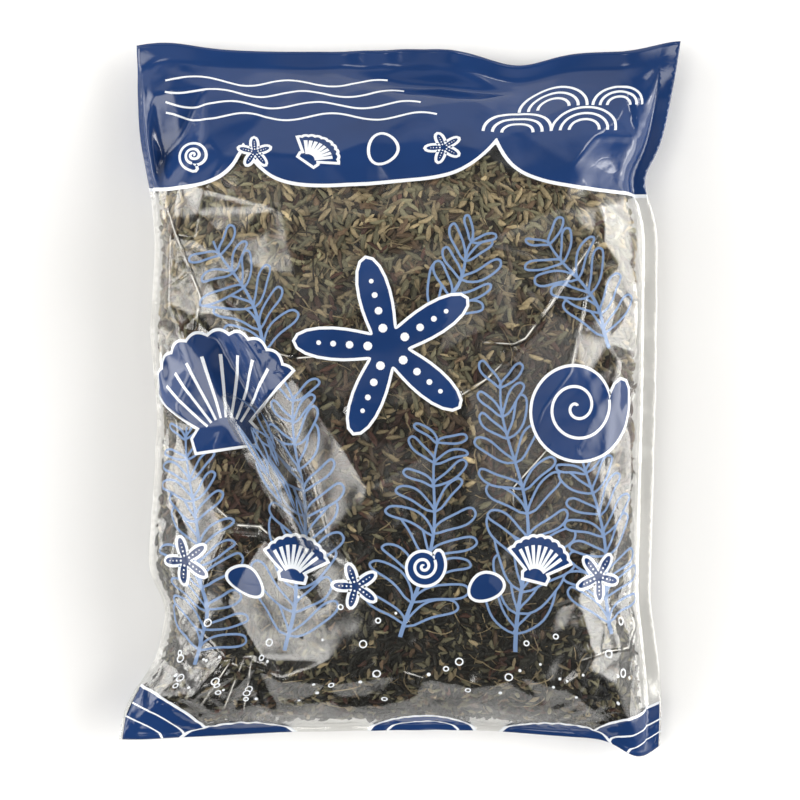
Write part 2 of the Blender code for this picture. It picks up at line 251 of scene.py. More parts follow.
def shares_at(x, y):
    """The shares s and t of places seen from above."""
    s, t = x / HALF_WIDTH, y / (LENGTH / 2)
    for _ in range(12):
        now_x, now_y = level_place(s, t)
        reach = np.where(s < 0, along_profile(LEFT_REACH, t), along_profile(RIGHT_REACH, t))
        s = np.clip(s + (x + CENTRE[0] - now_x) / reach, -1.0, 1.0)
        t = np.clip(t + (y + CENTRE[1] - now_y) / (LENGTH / 2), -1.0, 1.0)
    return s, t


def form_height(x, y):
    """The height of the pouch's general form at places seen from above."""
    return front_height(*shares_at(np.asarray(x, float), np.asarray(y, float)))


def facet_points():
    """Corners of the film's facets as x, y, z, and the pairs of them that a fold line joins."""
    corners, joined = [], []
    for line in FOLD_LINES:
        x, y, lift = np.array(line).T / 1000
        first = len(corners)
        corners += list(zip(x, y, form_height(x, y) + lift))
        joined += [(first + i, first + i + 1) for i in range(len(line) - 1)]
    for tilt, azimuth, lift, outline in FACETS:
        x, y = np.array(outline).T / 1000
        slope, azimuth = math.tan(math.radians(tilt)), math.radians(azimuth)
        downhill = (x - x[0]) * math.cos(azimuth) + (y - y[0]) * math.sin(azimuth)
        first, count = len(corners), len(x)
        corners += list(zip(x, y, form_height(x[0], y[0]) + lift / 1000 - slope * downhill))
        joined += [(first + i, first + (i + 1) % count) for i in range(count)]
    taken = np.array(corners)[:, :2]
    outlines = [np.array(outline) / 1000 for _, _, _, outline in FACETS]
    draw = np.random.default_rng(SEED + 1)
    for y in np.arange(-0.180, 0.181, EDGE_SPACING):
        for x in np.arange(-0.128, 0.129, EDGE_SPACING):
            place = np.array([x, y]) + draw.uniform(-0.4, 0.4, 2) * EDGE_SPACING
            s, t = shares_at(*place)
            near_edge = max(smooth(abs(s), 0.62, 0.80), smooth(-t, 0.62, 0.80))
            room = FACET_SPACING + (EDGE_SPACING - FACET_SPACING) * near_edge
            crowded = np.hypot(*(taken - place).T).min() < 0.78 * room
            if crowded or any(inside(place[None], outline)[0] for outline in outlines):
                continue
            swing = (0.0007 + 0.0013 * near_edge) * (1.0 - 0.7 * smooth(t, 0.55, 0.65))
            swing *= 1.0 - 0.7 * bump(place[0], 0.015, 0.040) * bump(place[1], -0.070, 0.060)
            corners.append((*place, front_height(s, t) + draw.uniform(-swing, swing)))
            taken = np.vstack([taken, place])
    return np.array(corners), joined


def faceted_height(x, y, plain):
    """The film's height when it stretches flat between the corners of its facets."""
    corners, joined = facet_points()
    cut = geometry.delaunay_2d_cdt([Vector(p) for p in corners[:, :2]], joined, [], 0, 1e-6)
    flat = np.array([tuple(p) for p in cut[0]])
    height = np.zeros(len(flat))
    for index, sources in enumerate(cut[3]):
        away = np.hypot(*(corners[:, :2] - flat[index]).T)
        near = sources if sources else np.argsort(away)[:3]
        height[index] = np.average(corners[near, 2], weights=1 / (away[near] + 1e-4))
    lifted = plain.copy()
    for a, b, c in [face for face in cut[2] if len(face) == 3]:
        (ax, ay), (bx, by), (cx, cy) = flat[a], flat[b], flat[c]
        size = (bx - ax) * (cy - ay) - (cx - ax) * (by - ay)
        if abs(size) < 1e-9:
            continue
        share_b = ((x - ax) * (cy - ay) - (cx - ax) * (y - ay)) / size
        share_c = ((bx - ax) * (y - ay) - (x - ax) * (by - ay)) / size
        within = (share_b >= 0) & (share_c >= 0) & (share_b + share_c <= 1)
        flat_height = height[a] + share_b * (height[b] - height[a]) + share_c * (height[c] - height[a])
        lifted[within] = flat_height[within]
    return lifted


# Where the film is crumpled most: x, y and reach in millimetres
CRINKLES = [(-78, -64, 15), (56, 18, 10), (-56, 16, 8), (-104, -150, 22), (106, -120, 14), (-112, 66, 10),
            (100, -160, 18), (-64, -150, 12)]


def spare_film(x, y, s, t):
    """How much longer than its place the film is, as a share."""
    near_edge = np.maximum(smooth(np.abs(s), 0.74, 0.94), 0.6 * smooth(-t, 0.72, 0.90))
    spare = SPARE_FILM + SPARE_AT_EDGES * near_edge
    for there_x, there_y, reach in CRINKLES:
        away = np.hypot(x * 1000 - there_x, y * 1000 - there_y)
        spare = spare + SPARE_IN_CRINKLES * bump(away, 0.0, reach)
    return spare


# Sharp creases of the front film: how high each stands, and its corners in millimetres. Two that run close
# together are drawn from opposite ends, so that both count the film between them as the same side
CREASES = [
    (1.0, [(101, 84), (86, 63), (75, 47), (63, 31), (57, 28), (42, 29)]),
    (0.8, [(51, 18), (44, 11), (30, 2)]),
    (0.6, [(66, -22), (72, -5), (86, 14), (93, 45), (98, 82)]),
    (0.7, [(77, -22), (67, -33), (57, -44), (57, -53)]),
    (0.9, [(-69, 25), (-52, 21), (-38, 22)]),
    (0.9, [(-70, 18), (-77, 28), (-93, 45)]),
    (0.9, [(-95, -52), (-83, -63), (-71, -64), (-57, -76)]),
    (0.8, [(117, -104), (121, -116), (117, -127), (104, -128), (91, -132)]),
    (0.7, [(-83, -128), (-103, -158)]),
    (0.6, [(-92, -162), (-79, -131)]),
    (0.6, [(-75, -131), (-81, -161)]),
    (0.8, [(-121, 102), (-101, 52), (-106, 26)]),
    (0.5, [(-89, 38), (-64, -12), (-40, -60)]),
]
CREASE_REACH = 3.4


def crumple_share(x, y):
    """How sharply the film is crumpled at places in millimetres: 0 where it is smooth, 1 at most."""
    share = np.full_like(x, 0.04)
    for there_x, there_y, reach in CRINKLES:
        share = np.maximum(share, 0.55 * bump(np.hypot(x - there_x, y - there_y), 0.0, reach))
    return share


def crease_places(x, y):
    """Each place's signed distance to the nearest crease, in millimetres, and that crease's height."""
    nearest, side, height = np.full_like(x, 1e9), np.zeros_like(x), np.zeros_like(x)
    for strength, line in CREASES:
        whole = flat_lengths(np.array(line, float))[-1]
        walked = 0.0
        for (x1, y1), (x2, y2) in zip(line, line[1:]):
            long = math.hypot(x2 - x1, y2 - y1)
            ahead = ((x - x1) * (x2 - x1) + (y - y1) * (y2 - y1)) / long
            beside = ((y - y1) * (x2 - x1) - (x - x1) * (y2 - y1)) / long
            away = np.hypot(np.maximum(np.maximum(-ahead, ahead - long), 0.0), beside)
            closer = away < nearest
            nearest[closer], side[closer] = away[closer], beside[closer]
            ends = np.sin(math.pi * np.clip((walked + ahead) / whole, 0.0, 1.0)) ** 0.5
            height[closer] = (strength * ends * (away < CREASE_REACH))[closer]
            walked += long
    return side, height


# The waves that lumps are made of, in radians a metre
LUMP_WAVES = (150.0, 230.0, 340.0, 520.0)


def lumps(x, y, size):
    """An uneven, smooth change of height, the same on every run."""
    draw = np.random.default_rng(SEED)
    total = np.zeros_like(x)
    for wave in LUMP_WAVES:
        for _ in range(3):
            angle, start = draw.uniform(0, math.pi), draw.uniform(0, 2 * math.pi)
            along = x * math.cos(angle) + y * math.sin(angle)
            total = total + np.sin(wave * along + start) * LUMP_WAVES[0] / wave
    return total * size / 3.0


def grid_normals(points):
    """Unit normals of a grid of points, pointing to the side where columns turn into rows."""
    return unit(np.cross(np.gradient(points, axis=1), np.gradient(points, axis=0)))


def pairs(shape, rows, columns):
    """Slices that pair each grid point with the one rows up and columns across, with no point used twice."""
    row_starts = range(2 * rows) if rows else range(1)
    column_starts = range(2 * columns) if rows == 0 else range(1)
    found = []
    for row in row_starts:
        for column in column_starts:
            row_step = 2 * rows if rows else 1
            column_step = 2 * columns if rows == 0 else 1
            first_rows = slice(row, shape[0] - rows, row_step)
            second_rows = slice(row + rows, shape[0], row_step)
            if columns >= 0:
                first_columns = slice(column, shape[1] - columns, column_step)
                second_columns = slice(column + columns, shape[1], column_step)
            else:
                first_columns = slice(-columns, shape[1], column_step)
                second_columns = slice(0, shape[1] + columns, column_step)
            found.append(((first_rows, first_columns), (second_rows, second_columns)))
    return found


def ties_of(points, spare):
    """Every pair of film points that is kept at a distance: its slices, that distance, and how firmly."""
    ties = []
    firmness = {(0, 1): 1.0, (1, 0): 1.0, (1, 1): 0.8, (1, -1): 0.8, (0, 2): 0.5, (2, 0): 0.5}
    for (rows, columns), firm in firmness.items():
        for first, second in pairs(spare.shape, rows, columns):
            flat = np.linalg.norm(points[first] - points[second], axis=-1)
            wider = 1.0 + (spare[first] + spare[second]) / 2
            ties.append((first, second, (flat * wider)[..., None], firm / 2))
    return ties


def settle(points, spare, held):
    """Lets the film find its finest creases, from facets with a little too much film in them."""
    draw = np.random.default_rng(SEED + 3)
    home = points.copy()
    ties = ties_of(points, spare)
    points = points.copy()
    points[..., 2] += draw.uniform(-0.0001, 0.0001, points.shape[:2])
    before = points.copy()
    for _ in range(SETTLE_STEPS):
        moved = (points - before) * SWING_KEPT
        before = points.copy()
        points = points + moved
        for _ in range(2):
            for first, second, length, firm in ties:
                apart = points[second] - points[first]
                gap = np.maximum(np.linalg.norm(apart, axis=-1, keepdims=True), 1e-9)
                change = apart * (firm * (gap - length) / gap)
                points[first] += change
                points[second] -= change
            points += (home - points) * held[..., None]
    return points


def softened(points, rounds):
    """The points, each drawn a little towards the mean of its four neighbours."""
    for _ in range(rounds):
        mean = points.copy()
        around = points[:-2, 1:-1] + points[2:, 1:-1] + points[1:-1, :-2] + points[1:-1, 2:]
        mean[1:-1, 1:-1] = around / 4
        points = points + 0.35 * (mean - points)
    return points


def seal_share(s, t):
    """1 on the sealed rim and 0 inside it."""
    left = smooth(-s, -LEFT_INNER - 0.012, -LEFT_INNER + 0.005)
    right = smooth(s, RIGHT_INNER - 0.02, RIGHT_INNER + 0.005)
    high = smooth(t, HIGH_INNER - 0.02, HIGH_INNER + 0.005)
    low = smooth(-t, -LOW_INNER - 0.012, -LOW_INNER + 0.005)
    return np.maximum(np.maximum(left, right), np.maximum(high, low))


def rim_ripples(s, t):
    """The small puckers of the sealed edges, as a change of height."""
    side = smooth(np.abs(s), 0.88, 1.0) * np.sin(31.0 * t + 5.0 * np.sin(6.0 * t) + 2.0 * np.sign(s))
    end = smooth(np.abs(t), 0.92, 1.0) * np.sin(23.0 * s + 4.0 * np.sin(5.0 * s) + np.sign(t))
    return 0.0007 * side + 0.0007 * end


def film_grids():
    """The settled front film and the back film, as grids of points that meet along the sealed rim."""
    s, t = np.meshgrid(COLUMN_S, ROW_T)
    front = surface(s, t, front_height)
    back = surface(s, t, back_height)
    ripples = rim_ripples(s, t)
    middle = (1.0 - smooth(-s, 0.92, 0.985)) * (1.0 - smooth(s, 0.86, 0.95))
    middle = middle * (1.0 - smooth(np.abs(t), 0.87, 0.95))
    facets = faceted_height(front[..., 0], front[..., 1], front[..., 2])
    slack = lumps(front[..., 0], front[..., 1], 0.00035)
    front[..., 2] += (facets + slack - front[..., 2]) * middle + ripples
    sealed = seal_share(s, t)
    spare = spare_film(front[..., 0], front[..., 1], s, t)
    front = settle(front, spare, HELD_INSIDE + HELD_AT_SEALS * sealed**2)
    front = softened(front, 1)
    normals = grid_normals(front)
    back[..., 2] += ripples * (1.0 - smooth(fullness(s, t), 0.0, 0.4))
    back = back * (1.0 - sealed[..., None]) + front * sealed[..., None]
    front += normals * SEAL_SPREAD * sealed[..., None]
    back -= normals * SEAL_SPREAD * sealed[..., None]
    return front, back


class Sheet:
    """A curved sheet: a grid of points, and the flat places of its columns and rows."""

    def __init__(self, points, us=FLAT_U, vs=FLAT_V):
        self.points, self.us, self.vs = points, us, vs
        self.normals = grid_normals(points)

    def at(self, u, v, grid=None):
        """Values of the grid at flat places u and v, along smooth curves through its points."""
        grid = self.points if grid is None else grid
        column = np.interp(u, self.us, np.arange(len(self.us)))
        row = np.interp(v, self.vs, np.arange(len(self.vs)))
        left = np.clip(column.astype(int), 0, len(self.us) - 2)
        low = np.clip(row.astype(int), 0, len(self.vs) - 2)
        across, up = curve_weights(column - left), curve_weights(row - low)
        total = 0.0
        for j in range(4):
            rows = np.clip(low + j - 1, 0, len(self.vs) - 1)
            for i in range(4):
                columns = np.clip(left + i - 1, 0, len(self.us) - 1)
                total = total + grid[rows, columns] * (across[i] * up[j])[:, None]
        return total

    def normal_at(self, u, v):
        """The sheet's direction outwards, square to its surface, at flat places u and v."""
        return unit(self.at(u, v, self.normals))

    def bounds(self):
        """Its flat left, bottom, right and top, in millimetres."""
        return np.array([self.us[0], self.vs[0], self.us[-1], self.vs[-1]]) * 1000


def curve_weights(x):
    """How much each of four neighbours counts in a smooth curve through the middle two."""
    return [0.5 * (-x + 2 * x**2 - x**3), 0.5 * (2 - 5 * x**2 + 3 * x**3),
            0.5 * (x + 4 * x**2 - 3 * x**3), 0.5 * (x**3 - x**2)]


# The print, in millimetres of flat film from its middle, painted in order: each later shape covers the last
CLEAR, BLUE, WHITE, PALE = range(4)
FRONT_BOUNDS = (FLAT_U[0] * 1000, FLAT_V[0] * 1000, FLAT_U[-1] * 1000, FLAT_V[-1] * 1000)
OUTLINE = 1.5
FINE_LINE = 1.1


def path(x, y):
    """Points from their x and their y."""
    return np.stack([x, y], axis=1)


def circle(x, y, radius, count=0):
    """A disc as a closed shape, with more corners the larger it is unless their count is given."""
    turn = np.linspace(0, 2 * math.pi, (count or max(10, int(radius * 4))) + 1)[:-1]
    return path(x + radius * np.cos(turn), y + radius * np.sin(turn))


def placed(points, x, y, size=1.0, turn=0.0):
    """A shape drawn round 0, 0, set at x, y with its size and its turn in degrees."""
    c, s = math.cos(math.radians(turn)), math.sin(math.radians(turn))
    points = np.asarray(points) * size
    across, up = points[:, 0], points[:, 1]
    return path(x + across * c - up * s, y + across * s + up * c)


def grown(points, by):
    """A closed shape, drawn anticlockwise, with its outline moved outwards."""
    along = unit(np.roll(points, -1, axis=0) - points)
    out = path(along[:, 1], -along[:, 0])
    both = out + np.roll(out, 1, axis=0)
    sharp = np.maximum((both**2).sum(axis=1, keepdims=True) / 2, 0.35)
    return points + both * by / sharp


def stroke(points, width, taper=0.0):
    """A line drawn with a width, as a closed shape. Taper thins it towards its end."""
    points = np.asarray(points, float)
    along = unit(np.gradient(points, axis=0))
    beside = path(-along[:, 1], along[:, 0])
    half = (width / 2 * (1.0 - taper * np.linspace(0, 1, len(points))))[:, None]
    return np.concatenate([points + beside * half, (points - beside * half)[::-1]])


def outlined(shape, ink=BLUE):
    """A shape in one ink with a white edge round it."""
    return [(grown(shape, OUTLINE), WHITE), (shape, ink)]


def loop(shape, ink, width=FINE_LINE):
    """Only the outline of a shape, with clear film inside it."""
    return [(grown(shape, width / 2), ink), (grown(shape, -width / 2), CLEAR)]


def scallop_shell(x, y, size, turn):
    """A fan-shaped shell with nine ribs and two small ears at its hinge."""
    angle = np.radians(np.linspace(-54, 54, 91))
    reach = (1.66 + 0.10 * np.cos(angle * 2)) * (1.0 + 0.045 * np.abs(np.sin(angle * 15.0)))
    fan = path(np.sin(angle) * reach, np.cos(angle) * reach - 0.92)[::-1]
    hinge = [(-0.42, -0.62), (-0.55, -0.78), (-0.50, -1.00), (0.50, -1.00), (0.55, -0.78), (0.42, -0.62)]
    shape = placed(np.concatenate([fan, hinge]), x, y, size, turn)
    drawn = outlined(shape)
    for degrees in np.linspace(-42, 42, 8):
        a = math.radians(degrees)
        rib = [(math.sin(a) * r, math.cos(a) * r - 0.92) for r in np.linspace(0.42, 1.46, 12)]
        drawn.append((stroke(placed(rib, x, y, size, turn), 1.3, -0.4), WHITE))
    return drawn


def starfish(x, y, size, turn):
    """A five-armed star with round tips and dots down its arms."""
    angle = np.linspace(0, 2 * math.pi, 101)[:-1]
    reach = 0.56 + 0.40 * np.cos(5 * angle) + 0.06 * np.cos(10 * angle)
    shape = path(np.sin(-angle) * reach, np.cos(angle) * reach)
    drawn = outlined(placed(shape, x, y, size, turn))
    for arm in range(5):
        for share, dot in ((0.22, 1.5), (0.42, 1.3), (0.60, 1.0), (0.76, 0.8)):
            a = math.radians(72 * arm)
            spot = placed([(math.sin(a) * share, math.cos(a) * share)], x, y, size, turn)[0]
            drawn.append((circle(spot[0], spot[1], dot * size / 30), WHITE))
    return drawn


def spiral_shell(x, y, size, turn):
    """A coiled snail shell with its mouth below its widest turn and a white line along its coil."""
    angle = np.linspace(0.0, 2 * math.pi, 73)
    reach = 0.60 + 0.40 * (angle / (2 * math.pi)) ** 1.3
    body = path(np.cos(angle) * reach, np.sin(angle) * reach)
    body = np.concatenate([body, [(1.02, 0.10), (0.98, 0.22), (0.88, 0.27), (0.76, 0.22), (0.66, 0.10)]])
    drawn = outlined(placed(body, x, y, size, turn))
    coil = np.linspace(0.0, 3.7 * math.pi, 90)
    reach = 0.60 * (1.0 - coil / (3.95 * math.pi)) ** 1.15
    line = path(np.cos(-coil) * reach, np.sin(-coil) * reach)
    drawn.append((stroke(placed(line, x, y, size, turn), 1.5), WHITE))
    return drawn


def pebble(x, y, size, turn):
    """A rounded drop."""
    angle = np.linspace(0, 2 * math.pi, 33)[:-1]
    shape = path(np.cos(angle) * 0.75, np.sin(angle) * (1.0 - 0.22 * np.cos(angle)))
    return outlined(placed(shape, x, y, size, turn))


def wave_arcs(x, y, radius, ink, rings=3):
    """A half disc of rings, as in the old wave-scale pattern."""
    drawn = []
    for ring in range(rings):
        angle = np.linspace(0, math.pi, 40)
        r = radius * (1.0 - 0.27 * ring)
        arc = path(x + np.cos(angle) * r, y + np.sin(angle) * r * 0.92)
        drawn.append((stroke(arc, OUTLINE), ink))
    return drawn


def kelp(x, y, height, lean, sway, leaf, side):
    """An upright frond: a swaying stem with pairs of rounded leaves, all in outline."""
    share = np.linspace(0, 1, 60)
    stem = path(x + lean * share + sway * np.sin(share * 5.0) * share, y + height * share)
    walked = flat_lengths(stem)
    blade = 1.0 - (1.0 - np.linspace(0, 1, 15)) ** 2
    draw = np.random.default_rng(int(abs(x) + height))
    drawn = []
    for reach in np.arange(7.0, walked[-1], 0.44 * leaf):
        index = min(int(np.searchsorted(walked, reach)), 58)
        ahead = stem[index + 1] - stem[index - 1]
        heading = math.degrees(math.atan2(ahead[1], ahead[0]))
        long = leaf * (1.0 - 0.5 * (reach / walked[-1]) ** 2)
        for turn in (1, -1):
            bent = 0.30 * blade**2 * side * turn * draw.uniform(-0.2, 0.9)
            bent = bent + 0.03 * np.sin(6.0 * blade + draw.uniform(0, 6))
            wide = 0.02 + draw.uniform(0.13, 0.18) * np.sqrt(blade * (1.0 - blade**5))
            outline = np.concatenate([path(blade, bent - wide),
                                      path(blade, bent + wide)[::-1]])
            size, angle = long * draw.uniform(0.85, 1.15), heading + turn * draw.uniform(38, 60)
            drawn += loop(placed(outline, *stem[index], size, angle), PALE, 1.2)
    drawn.append((stroke(stem, 2.2, 0.5), PALE))
    return drawn


def header_band():
    """The deep blue band along the top edge: its lower edge rises in sharp crests, with a white border."""
    left, _, right, top = FRONT_BOUNDS
    x = np.linspace(left, right, 420)
    edge = 105.0 + 2.5 * np.sin(x / 34.0 + 0.7)
    for crest, height, reach in ((-78, 27, 11), (48, 27, 11)):
        edge = edge + height * np.exp(-np.abs(x - crest) / reach)
    drawn = []
    for width, ink in ((1.9, WHITE), (0.0, BLUE)):
        lowered = [np.interp(x + step, x, edge) - math.sqrt(width**2 - step**2)
                   for step in np.linspace(-width, width, 13)]
        band = [(right, top), (left, top), *zip(x, np.min(lowered, axis=0))]
        drawn.append((np.array(band), ink))
    return drawn


def dome(x, y, radius):
    """The part of a disc that stands above the bottom edge, kept within the sheet."""
    left, bottom, right, _ = FRONT_BOUNDS
    low = math.asin(np.clip((bottom - y) / radius, -1.0, 1.0))
    angle = np.linspace(low, math.pi - low, 64)
    points = path(x + radius * np.cos(angle), y + radius * np.sin(angle))
    kept = points[(points[:, 0] > left) & (points[:, 0] < right)]
    first, last = kept[0], kept[-1]
    return np.concatenate([kept, [(last[0], bottom - 1.0)], [(first[0], bottom - 1.0)]])


def foot_waves():
    """Low blue swells with white crests along the bottom edge."""
    bottom = FRONT_BOUNDS[1]
    drawn = []
    for x, radius, sink in ((-140, 50, 20), (142, 48, 25), (-76, 40, 38), (80, 40, 37), (12, 30, 24)):
        y = bottom - sink + 8.0
        drawn += [(dome(x, y, radius + OUTLINE), WHITE), (dome(x, y, radius), BLUE)]
        for ring in (0.80, 0.60):
            if y + radius * ring > bottom + 6.0:
                drawn.append((stroke(dome(x, y, radius * ring)[:-2], 1.1), WHITE))
    return drawn


def bubbles():
    """White dots and rings that rise from the waves."""
    draw = random.Random(SEED)
    drawn = []
    for _ in range(56):
        x, y = draw.uniform(-120, 120), -150 + abs(draw.gauss(0, 22))
        size = draw.choice((0.7, 0.8, 1.0, 1.6, 2.2))
        drawn.append((circle(x, y - 12, size, 12), WHITE))
        if size > 1.2:
            drawn.append((circle(x, y - 12, size - 0.7, 10), CLEAR))
    return drawn


# The fronds of the front's print: the foot's x and y, the height, how far the top leans, how far the stem
# sways, the length of a leaf and the side to which leaves bend
FRONDS = [(-108, -140, 122, 4, 10, 25, 1), (-60, -132, 130, 18, 12, 28, -1), (0, -124, 100, 28, 9, 27, 1),
          (58, -132, 136, 6, 14, 29, -1), (110, -124, 104, -12, 8, 25, 1), (-66, 14, 62, -24, 8, 25, 1),
          (14, 34, 42, 28, 6, 23, -1), (108, 22, 54, -26, 8, 25, 1)]
# Its row of small shapes, each with its x, y, size and turn, and the shapes in the header, each with its x
SMALL_SHAPES = [(starfish, -110, -86, 12, 20), (pebble, -80, -96, 9, 60),
                (scallop_shell, -52, -84, 11.5, -10), (starfish, -22, -98, 11, 160),
                (spiral_shell, 12, -88, 11, 30), (pebble, 44, -98, 8.5, 110),
                (scallop_shell, 72, -84, 11.5, -14), (starfish, 104, -94, 12, 40)]
HEADER_SHAPES = [(spiral_shell, -104), (starfish, -72), (scallop_shell, -40), (pebble, -8), (starfish, 22)]


def front_print():
    """All the shapes of the front's print, in the order in which they are painted."""
    drawn = []
    for frond in FRONDS:
        drawn += kelp(*frond)
    drawn += header_band()
    drawn += foot_waves()
    drawn += scallop_shell(-96, 2, 31, 8)
    drawn += starfish(-6, 22, 45, 14)
    drawn += spiral_shell(90, -8, 31, 12)
    for shape, x, y, size, turn in SMALL_SHAPES:
        drawn += shape(x, y, size, turn)
    for x, y, radius in ((58, 138, 17), (92, 138, 17), (75, 155, 17), (109, 155, 14)):
        drawn += wave_arcs(x, y, radius, WHITE)
    for shape, x in HEADER_SHAPES:
        drawn += shape(x, 125 + 0.03 * x, 8.5, x)
    for row in range(4):
        x = np.linspace(-118, 18 - 8 * row, 90)
        line = path(x, 146 + 8 * row + 2.4 * np.sin(x / 7.0 + row))
        drawn.append((stroke(line, 1.2), WHITE))
    drawn += bubbles()
    return drawn


def back_print():
    """The back repeats only the coloured ends."""
    return header_band() + foot_waves()


def inside(points, shape):
    """Which points lie inside a closed shape."""
    x, y = points[:, 0], points[:, 1]
    hit = np.zeros(len(points), bool)
    for (x1, y1), (x2, y2) in zip(shape, np.roll(shape, -1, axis=0)):
        if y1 == y2:
            continue
        crosses = (y1 > y) != (y2 > y)
        hit ^= crosses & (x < (x2 - x1) * (y - y1) / (y2 - y1) + x1)
    return hit


def even_places(bounds, taken, spacing):
    """Places at an even spacing over the flat film, clear of those taken, and all along its rim."""
    left, bottom, right, top = bounds

    def cell(x, y):
        """The small square of film that holds a place."""
        return round(x / spacing * 1.6), round(y / spacing * 1.6)

    cells = {cell(x, y) for x, y in taken}
    columns = np.linspace(left, right, int((right - left) / spacing) + 1)
    rows = np.linspace(bottom, top, int((top - bottom) / spacing) + 1)
    places = []
    for number, y in enumerate(rows):
        on_edge = number in (0, len(rows) - 1)
        for x in columns:
            if number % 2 and left < x < right - spacing and not on_edge:
                x = min(right, x + spacing / 2)
            if on_edge or x in (left, right) or cell(x, y) not in cells:
                places.append((x, y))
    return places


def inks_at(places, drawn):
    """The ink that covers each place of the flat film."""
    ink = np.zeros(len(places), int)
    for shape, colour in drawn:
        low, high = shape.min(axis=0), shape.max(axis=0)
        near = np.nonzero(((places >= low) & (places <= high)).all(axis=1))[0]
        ink[near[inside(places[near], shape)]] = colour
    return ink


def cut_sheet(bounds, drawn, spacing):
    """The flat film as triangles that follow the print's outlines: points, triangles and an ink for each."""
    points, edges = [], []
    for shape, _ in drawn:
        first, count = len(points), len(shape)
        points += [tuple(p) for p in np.clip(shape, bounds[:2], bounds[2:])]
        edges += [(first + i, first + (i + 1) % count) for i in range(count)]
    points += even_places(bounds, points, spacing)
    cut = geometry.delaunay_2d_cdt([Vector(p) for p in points], edges, [], 0, 1e-5)
    flat = np.array([tuple(p) for p in cut[0]])
    triangles = np.array([face for face in cut[2] if len(face) == 3])
    corners = flat[triangles]
    area = np.cross(corners[:, 1] - corners[:, 0], corners[:, 2] - corners[:, 0])
    triangles = np.where((area < 0)[:, None], triangles[:, ::-1], triangles)[np.abs(area) > 1e-7]
    return flat, triangles, inks_at(flat[triangles].mean(axis=1), drawn)


def rim_of(triangles):
    """The sheet's outer edges, each as a pair of points in the order of its triangle."""
    directed = np.concatenate([triangles[:, [0, 1]], triangles[:, [1, 2]], triangles[:, [2, 0]]])
    there = {tuple(edge) for edge in directed.tolist()}
    return np.array([edge for edge in there if (edge[1], edge[0]) not in there])


def new_piece(name, points, faces, finishes, slot, *nodes):
    """A smooth mesh that rides on the pouch and stands for the nodes named."""
    mesh = bpy.data.meshes.new(name)
    mesh.from_pydata(points, [], faces)
    for finish in finishes:
        mesh.materials.append(finish)
    mesh.shade_smooth()
    piece = bpy.data.objects.new(name, mesh)
    bpy.context.scene.collection.objects.link(piece)
    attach(piece, "root")
    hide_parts(*nodes)
    return mesh


def film_panel(name, sheet, facing, drawn, spacing, inks, node, slot):
    """One printed film: its outer and inner face a film's thickness apart, closed round the rim."""
    flat, triangles, ink = cut_sheet(sheet.bounds(), drawn, spacing)
    u, v = flat[:, 0] / 1000, flat[:, 1] / 1000
    middle = sheet.at(u, v)
    normal = sheet.normal_at(u, v) * facing
    outer, inner = middle + normal * FILM_THICKNESS / 2, middle - normal * FILM_THICKNESS / 2
    if facing < 0:
        triangles = triangles[:, ::-1]
    count = len(flat)
    rim = rim_of(triangles).tolist()
    owner = {}
    for index, (a, b, c) in enumerate(triangles.tolist()):
        owner[a, b] = owner[b, c] = owner[c, a] = index
    faces = [tuple(face) for face in triangles.tolist()]
    faces += [(a + count, b + count, c + count) for a, b, c in triangles[:, ::-1].tolist()]
    faces += [(b, a, a + count, b + count) for a, b in rim]
    mesh = new_piece(name, np.concatenate([outer, inner]), faces, inks, slot, node)
    rim_inks = [ink[owner[a, b]] for a, b in rim]
    mesh.polygons.foreach_set("material_index", np.concatenate([ink, ink, rim_inks]).astype(np.int32))
    map_film(mesh, np.concatenate([flat, flat]) / 1000)
    mark_creases(mesh, np.concatenate([middle, middle])[:, :2] * 1000, facing)
    mesh.update()


def map_film(mesh, flat):
    """Lays the film flat as a UV map, in metres, for what its materials draw on it."""
    corners = np.empty(len(mesh.loops), np.int32)
    mesh.loops.foreach_get("vertex_index", corners)
    flat_map = mesh.uv_layers.new(name="flat_film")
    flat_map.data.foreach_set("uv", flat[corners].astype(np.float32).ravel())


def mark_creases(mesh, places, facing):
    """Tells each point of a film how crumpled it is and where its crease runs. Only the front has creases."""
    x, y = places.T
    side, height = crease_places(x, y)
    marks = {"crumple": crumple_share(x, y), "crease_side": side, "crease_height": height * (facing > 0)}
    for key, values in marks.items():
        mesh.attributes.new(key, "FLOAT", "POINT").data.foreach_set("value", values.astype(np.float32))


# The seaweed, with lengths in metres: the upper clump has longer leaves than the lower one
UPPER = {"name": "upper", "node": "hijiki_upper", "slot": "brown_seaweed", "spacing": 0.0037,
         "length": (0.0066, 0.0112), "width": (0.0024, 0.0038)}
LOWER = {"name": "lower", "node": "hijiki_lower", "slot": "black_seaweed", "spacing": 0.0031,
         "length": (0.0050, 0.0088), "width": (0.0020, 0.0032)}
LEAF_KINDS = 10

# The stems and the core. The core's top and reach are shares of the pouch's half width and half length
STEM_COUNT = 420
STEM_STEPS = 22
STEM_SIDES = 4
PALE_STEMS = 0.55
PALE_STEM = (0.30, 0.235, 0.135)
DARK_STEM = (0.030, 0.022, 0.014)
CORE_TOP = 0.645
CORE_REACH = 0.93
CORE_DEPTH = 0.0030

# How much sparser the leaves are at the back, and the gaps between the films and the seaweed
BACK_SPACING = 1.25
GAP_UNDER_FRONT = 0.0009
GAP_OVER_BACK = 0.0014

# The layers of leaves: whether they lie against the front or the back film, the least and greatest depth of a
# leaf below it, and the share of its colour kept there, the rest taken away as painted shade for leaves that
# lie deeper or on the underside
LAYERS = {"top_leaves": ("front", (0.0, 0.0015), 1.0), "deeper_leaves": ("front", (0.0014, 0.0032), 0.5),
          "underside_leaves": ("back", (0.0, 0.0020), 0.8)}


